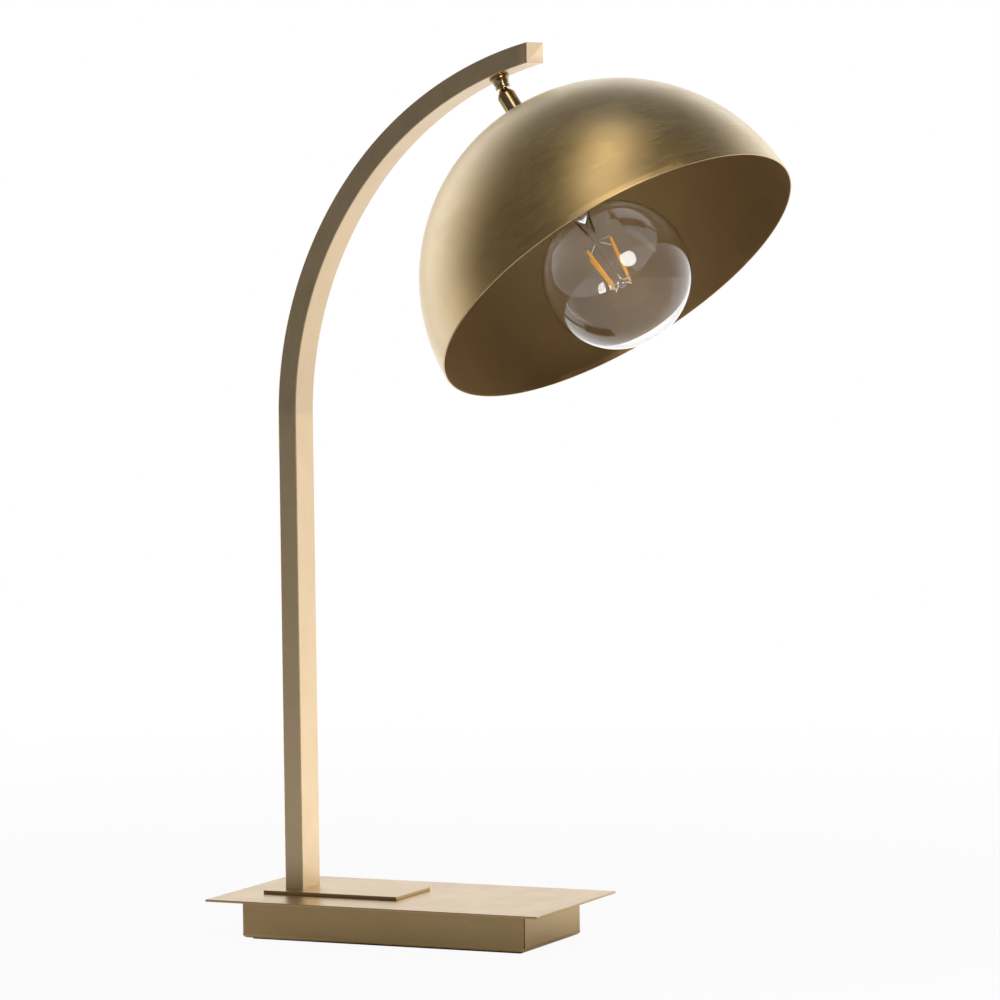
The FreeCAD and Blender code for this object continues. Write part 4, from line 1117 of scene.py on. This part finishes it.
class LAMP_OT_stage(bpy.types.Operator):
    """Set the pale floor, the soft lights, the white surroundings and the camera"""

    bl_idname = "lamp.set_stage"
    bl_label = "Stage"

    def execute(self, context):
        studio = context.scene.lamp_studio
        self.floor(studio)
        self.surroundings(context, studio)
        self.lights(studio)
        self.camera(context, studio)
        context.scene.view_settings.view_transform = "Standard"
        return {"FINISHED"}

    def floor(self, studio):
        bm = bmesh.new()
        bmesh.ops.create_grid(bm, x_segments=1, y_segments=1, size=FLOOR_HALF)
        mesh = bpy.data.meshes.new("studio_floor")
        bm.to_mesh(mesh)
        bm.free()
        floor = bpy.data.objects.new("studio_floor", mesh)
        bpy.context.scene.collection.objects.link(floor)
        mesh.materials.append(self.paper(studio))

    def paper(self, studio):
        """Pale paper that is lit to white behind the lamp and far from it."""
        nodes = Nodes("studio_paper")
        speckle = nodes.noise(nodes.place(), 900.0, detail=2.0)
        pale = list(studio.floor)
        tone = nodes.mixed(nodes.ranged(speckle, 0.0, 1.0), pale, scaled(pale, 0.99))
        nodes.finish(tone)
        nodes.set(Roughness=0.9)
        spot = nodes.place()
        seen = nodes.add("ShaderNodeLightPath").outputs
        away = nodes.add("ShaderNodeVectorMath", operation="LENGTH")
        nodes.link(spot, away.inputs[0])
        whiter = nodes.ranged(away.outputs["Value"], 0.94, 1.0, start=0.3, end=1.3)
        behind = nodes.along(spot, AWAY_FROM_CAMERA)
        lit = nodes.ranged(behind, 0.0, 0.95, start=-0.03, end=0.2)
        in_view = nodes.maths("MULTIPLY", self.looked_at(nodes, seen), whiter)
        in_gloss = nodes.maths("MULTIPLY", seen["Is Glossy Ray"], lit)
        glow = nodes.add("ShaderNodeEmission")
        strength = nodes.ranged(seen["Is Glossy Ray"], 1.0, studio.backdrop, start=0.0, end=1.0)
        nodes.link(strength, glow.inputs["Strength"])
        mix = nodes.add("ShaderNodeMixShader")
        nodes.link(nodes.maths("MAXIMUM", in_view, in_gloss), mix.inputs["Fac"])
        nodes.link(nodes.shader.outputs["BSDF"], mix.inputs[1])
        nodes.link(glow.outputs["Emission"], mix.inputs[2])
        nodes.link(mix.outputs["Shader"], nodes.tree.nodes["Material Output"].inputs["Surface"])
        return nodes.material

    @staticmethod
    def looked_at(nodes, seen):
        """Where a ray comes from the camera, straight or through the bulb's glass."""
        return nodes.maths("MAXIMUM", seen["Is Camera Ray"], seen["Is Transmission Ray"])

    def surroundings(self, context, studio):
        """White behind the lamp and a dim room on the camera's side."""
        world = bpy.data.worlds.new("studio_room")
        context.scene.world = world
        world.use_nodes = True
        world.node_tree.nodes.clear()
        nodes = Tree(world.node_tree)
        way = nodes.add("ShaderNodeTexCoord").outputs["Generated"]
        away = nodes.along(way, AWAY_FROM_CAMERA)
        behind = nodes.ranged(away, 0.0, 1.0, start=-0.05, end=0.6, soft=True)
        height = nodes.along(way, (0.0, 0.0, 1.0))
        below_ceiling = nodes.ranged(height, 0.0, 1.0, start=0.8, end=0.3, soft=True)
        paper = nodes.maths("MULTIPLY", behind, below_ceiling)
        glow = nodes.ranged(paper, studio.front, studio.backdrop, start=0.0, end=1.0)
        room = nodes.add("ShaderNodeBackground")
        nodes.link(glow, room.inputs["Color"])
        white = nodes.add("ShaderNodeBackground")
        white.inputs["Color"].default_value = (1, 1, 1, 1)
        seen = nodes.add("ShaderNodeLightPath").outputs
        mix = nodes.add("ShaderNodeMixShader")
        nodes.link(self.looked_at(nodes, seen), mix.inputs["Fac"])
        nodes.link(room.outputs["Background"], mix.inputs[1])
        nodes.link(white.outputs["Background"], mix.inputs[2])
        output = nodes.add("ShaderNodeOutputWorld")
        nodes.link(mix.outputs["Shader"], output.inputs["Surface"])

    def area_light(self, name, shape, reach, size, power):
        """A soft light that faces the dome from a way off."""
        data = bpy.data.lights.new(name, "AREA")
        data.shape = shape
        data.size, data.size_y = size
        data.energy = power
        light = bpy.data.objects.new(name, data)
        bpy.context.scene.collection.objects.link(light)
        light.location = DOME_MIDDLE + reach
        light.rotation_euler = (-reach).to_track_quat("-Z", "Y").to_euler()
        return light

    def lights(self, studio):
        self.area_light("top_strip", "RECTANGLE", TO_STRIP, STRIP_SIZE, studio.top_power)
        softbox = self.area_light(
            "round_softbox", "DISK", TO_SOFTBOX, SOFTBOX_SIZE, studio.round_power
        )
        self.keep_off(softbox, "base_top_plate_skin", "foot_plate_skin")

    @staticmethod
    def keep_off(light, *names):
        """These pieces get none of the light, as if a black card stood before it."""
        shaded = bpy.data.collections.new(light.name + "_kept_off")
        for name in names:
            shaded.objects.link(bpy.data.objects[name])
        light.light_linking.receiver_collection = shaded
        for item in shaded.collection_objects:
            item.light_linking.link_state = "EXCLUDE"

    def camera(self, context, studio):
        data = bpy.data.cameras.new("studio_camera")
        data.sensor_fit = "HORIZONTAL"
        data.sensor_width = 36.0
        data.lens = studio.lens
        data.clip_end = 50.0
        camera = bpy.data.objects.new("studio_camera", data)
        context.scene.collection.objects.link(camera)
        forward = CAMERA_LOOK.normalized()
        right = forward.cross(CAMERA_UP.normalized()).normalized()
        turn = Matrix((right, right.cross(forward), -forward)).transposed().to_4x4()
        camera.matrix_world = Matrix.Translation(CAMERA_PLACE) @ turn
        context.scene.camera = camera


class LAMP_PT_panel(bpy.types.Panel):
    """Lists the lamp's operators and their sizes"""

    bl_label = "Desk Lamp"
    bl_idname = "LAMP_PT_panel"
    bl_space_type = "VIEW_3D"
    bl_region_type = "UI"
    bl_category = "Desk Lamp"

    def draw(self, context):
        for operator in OPERATORS:
            self.layout.operator(operator.bl_idname)
        for name, group in SETTINGS.items():
            box = self.layout.box()
            box.label(text=name.replace("_", " ").capitalize())
            for field in group.__annotations__:
                box.prop(getattr(context.scene, name), field)


OPERATORS = (
    LAMP_OT_base,
    LAMP_OT_arm,
    LAMP_OT_ball_joint,
    LAMP_OT_shade,
    LAMP_OT_bulb,
    LAMP_OT_inner_parts,
    LAMP_OT_stage,
)


def register():
    for name, group in SETTINGS.items():
        bpy.utils.register_class(group)
        setattr(bpy.types.Scene, name, bpy.props.PointerProperty(type=group))
    for operator in OPERATORS:
        bpy.utils.register_class(operator)
    bpy.utils.register_class(LAMP_PT_panel)


def unregister():
    bpy.utils.unregister_class(LAMP_PT_panel)
    for operator in reversed(OPERATORS):
        bpy.utils.unregister_class(operator)
    for name, group in reversed(SETTINGS.items()):
        delattr(bpy.types.Scene, name)
        bpy.utils.unregister_class(group)


def main():
    register()
    for operator in OPERATORS:
        area, action = operator.bl_idname.split(".")
        getattr(getattr(bpy.ops, area), action)()


if __name__ == "__main__":
    main()
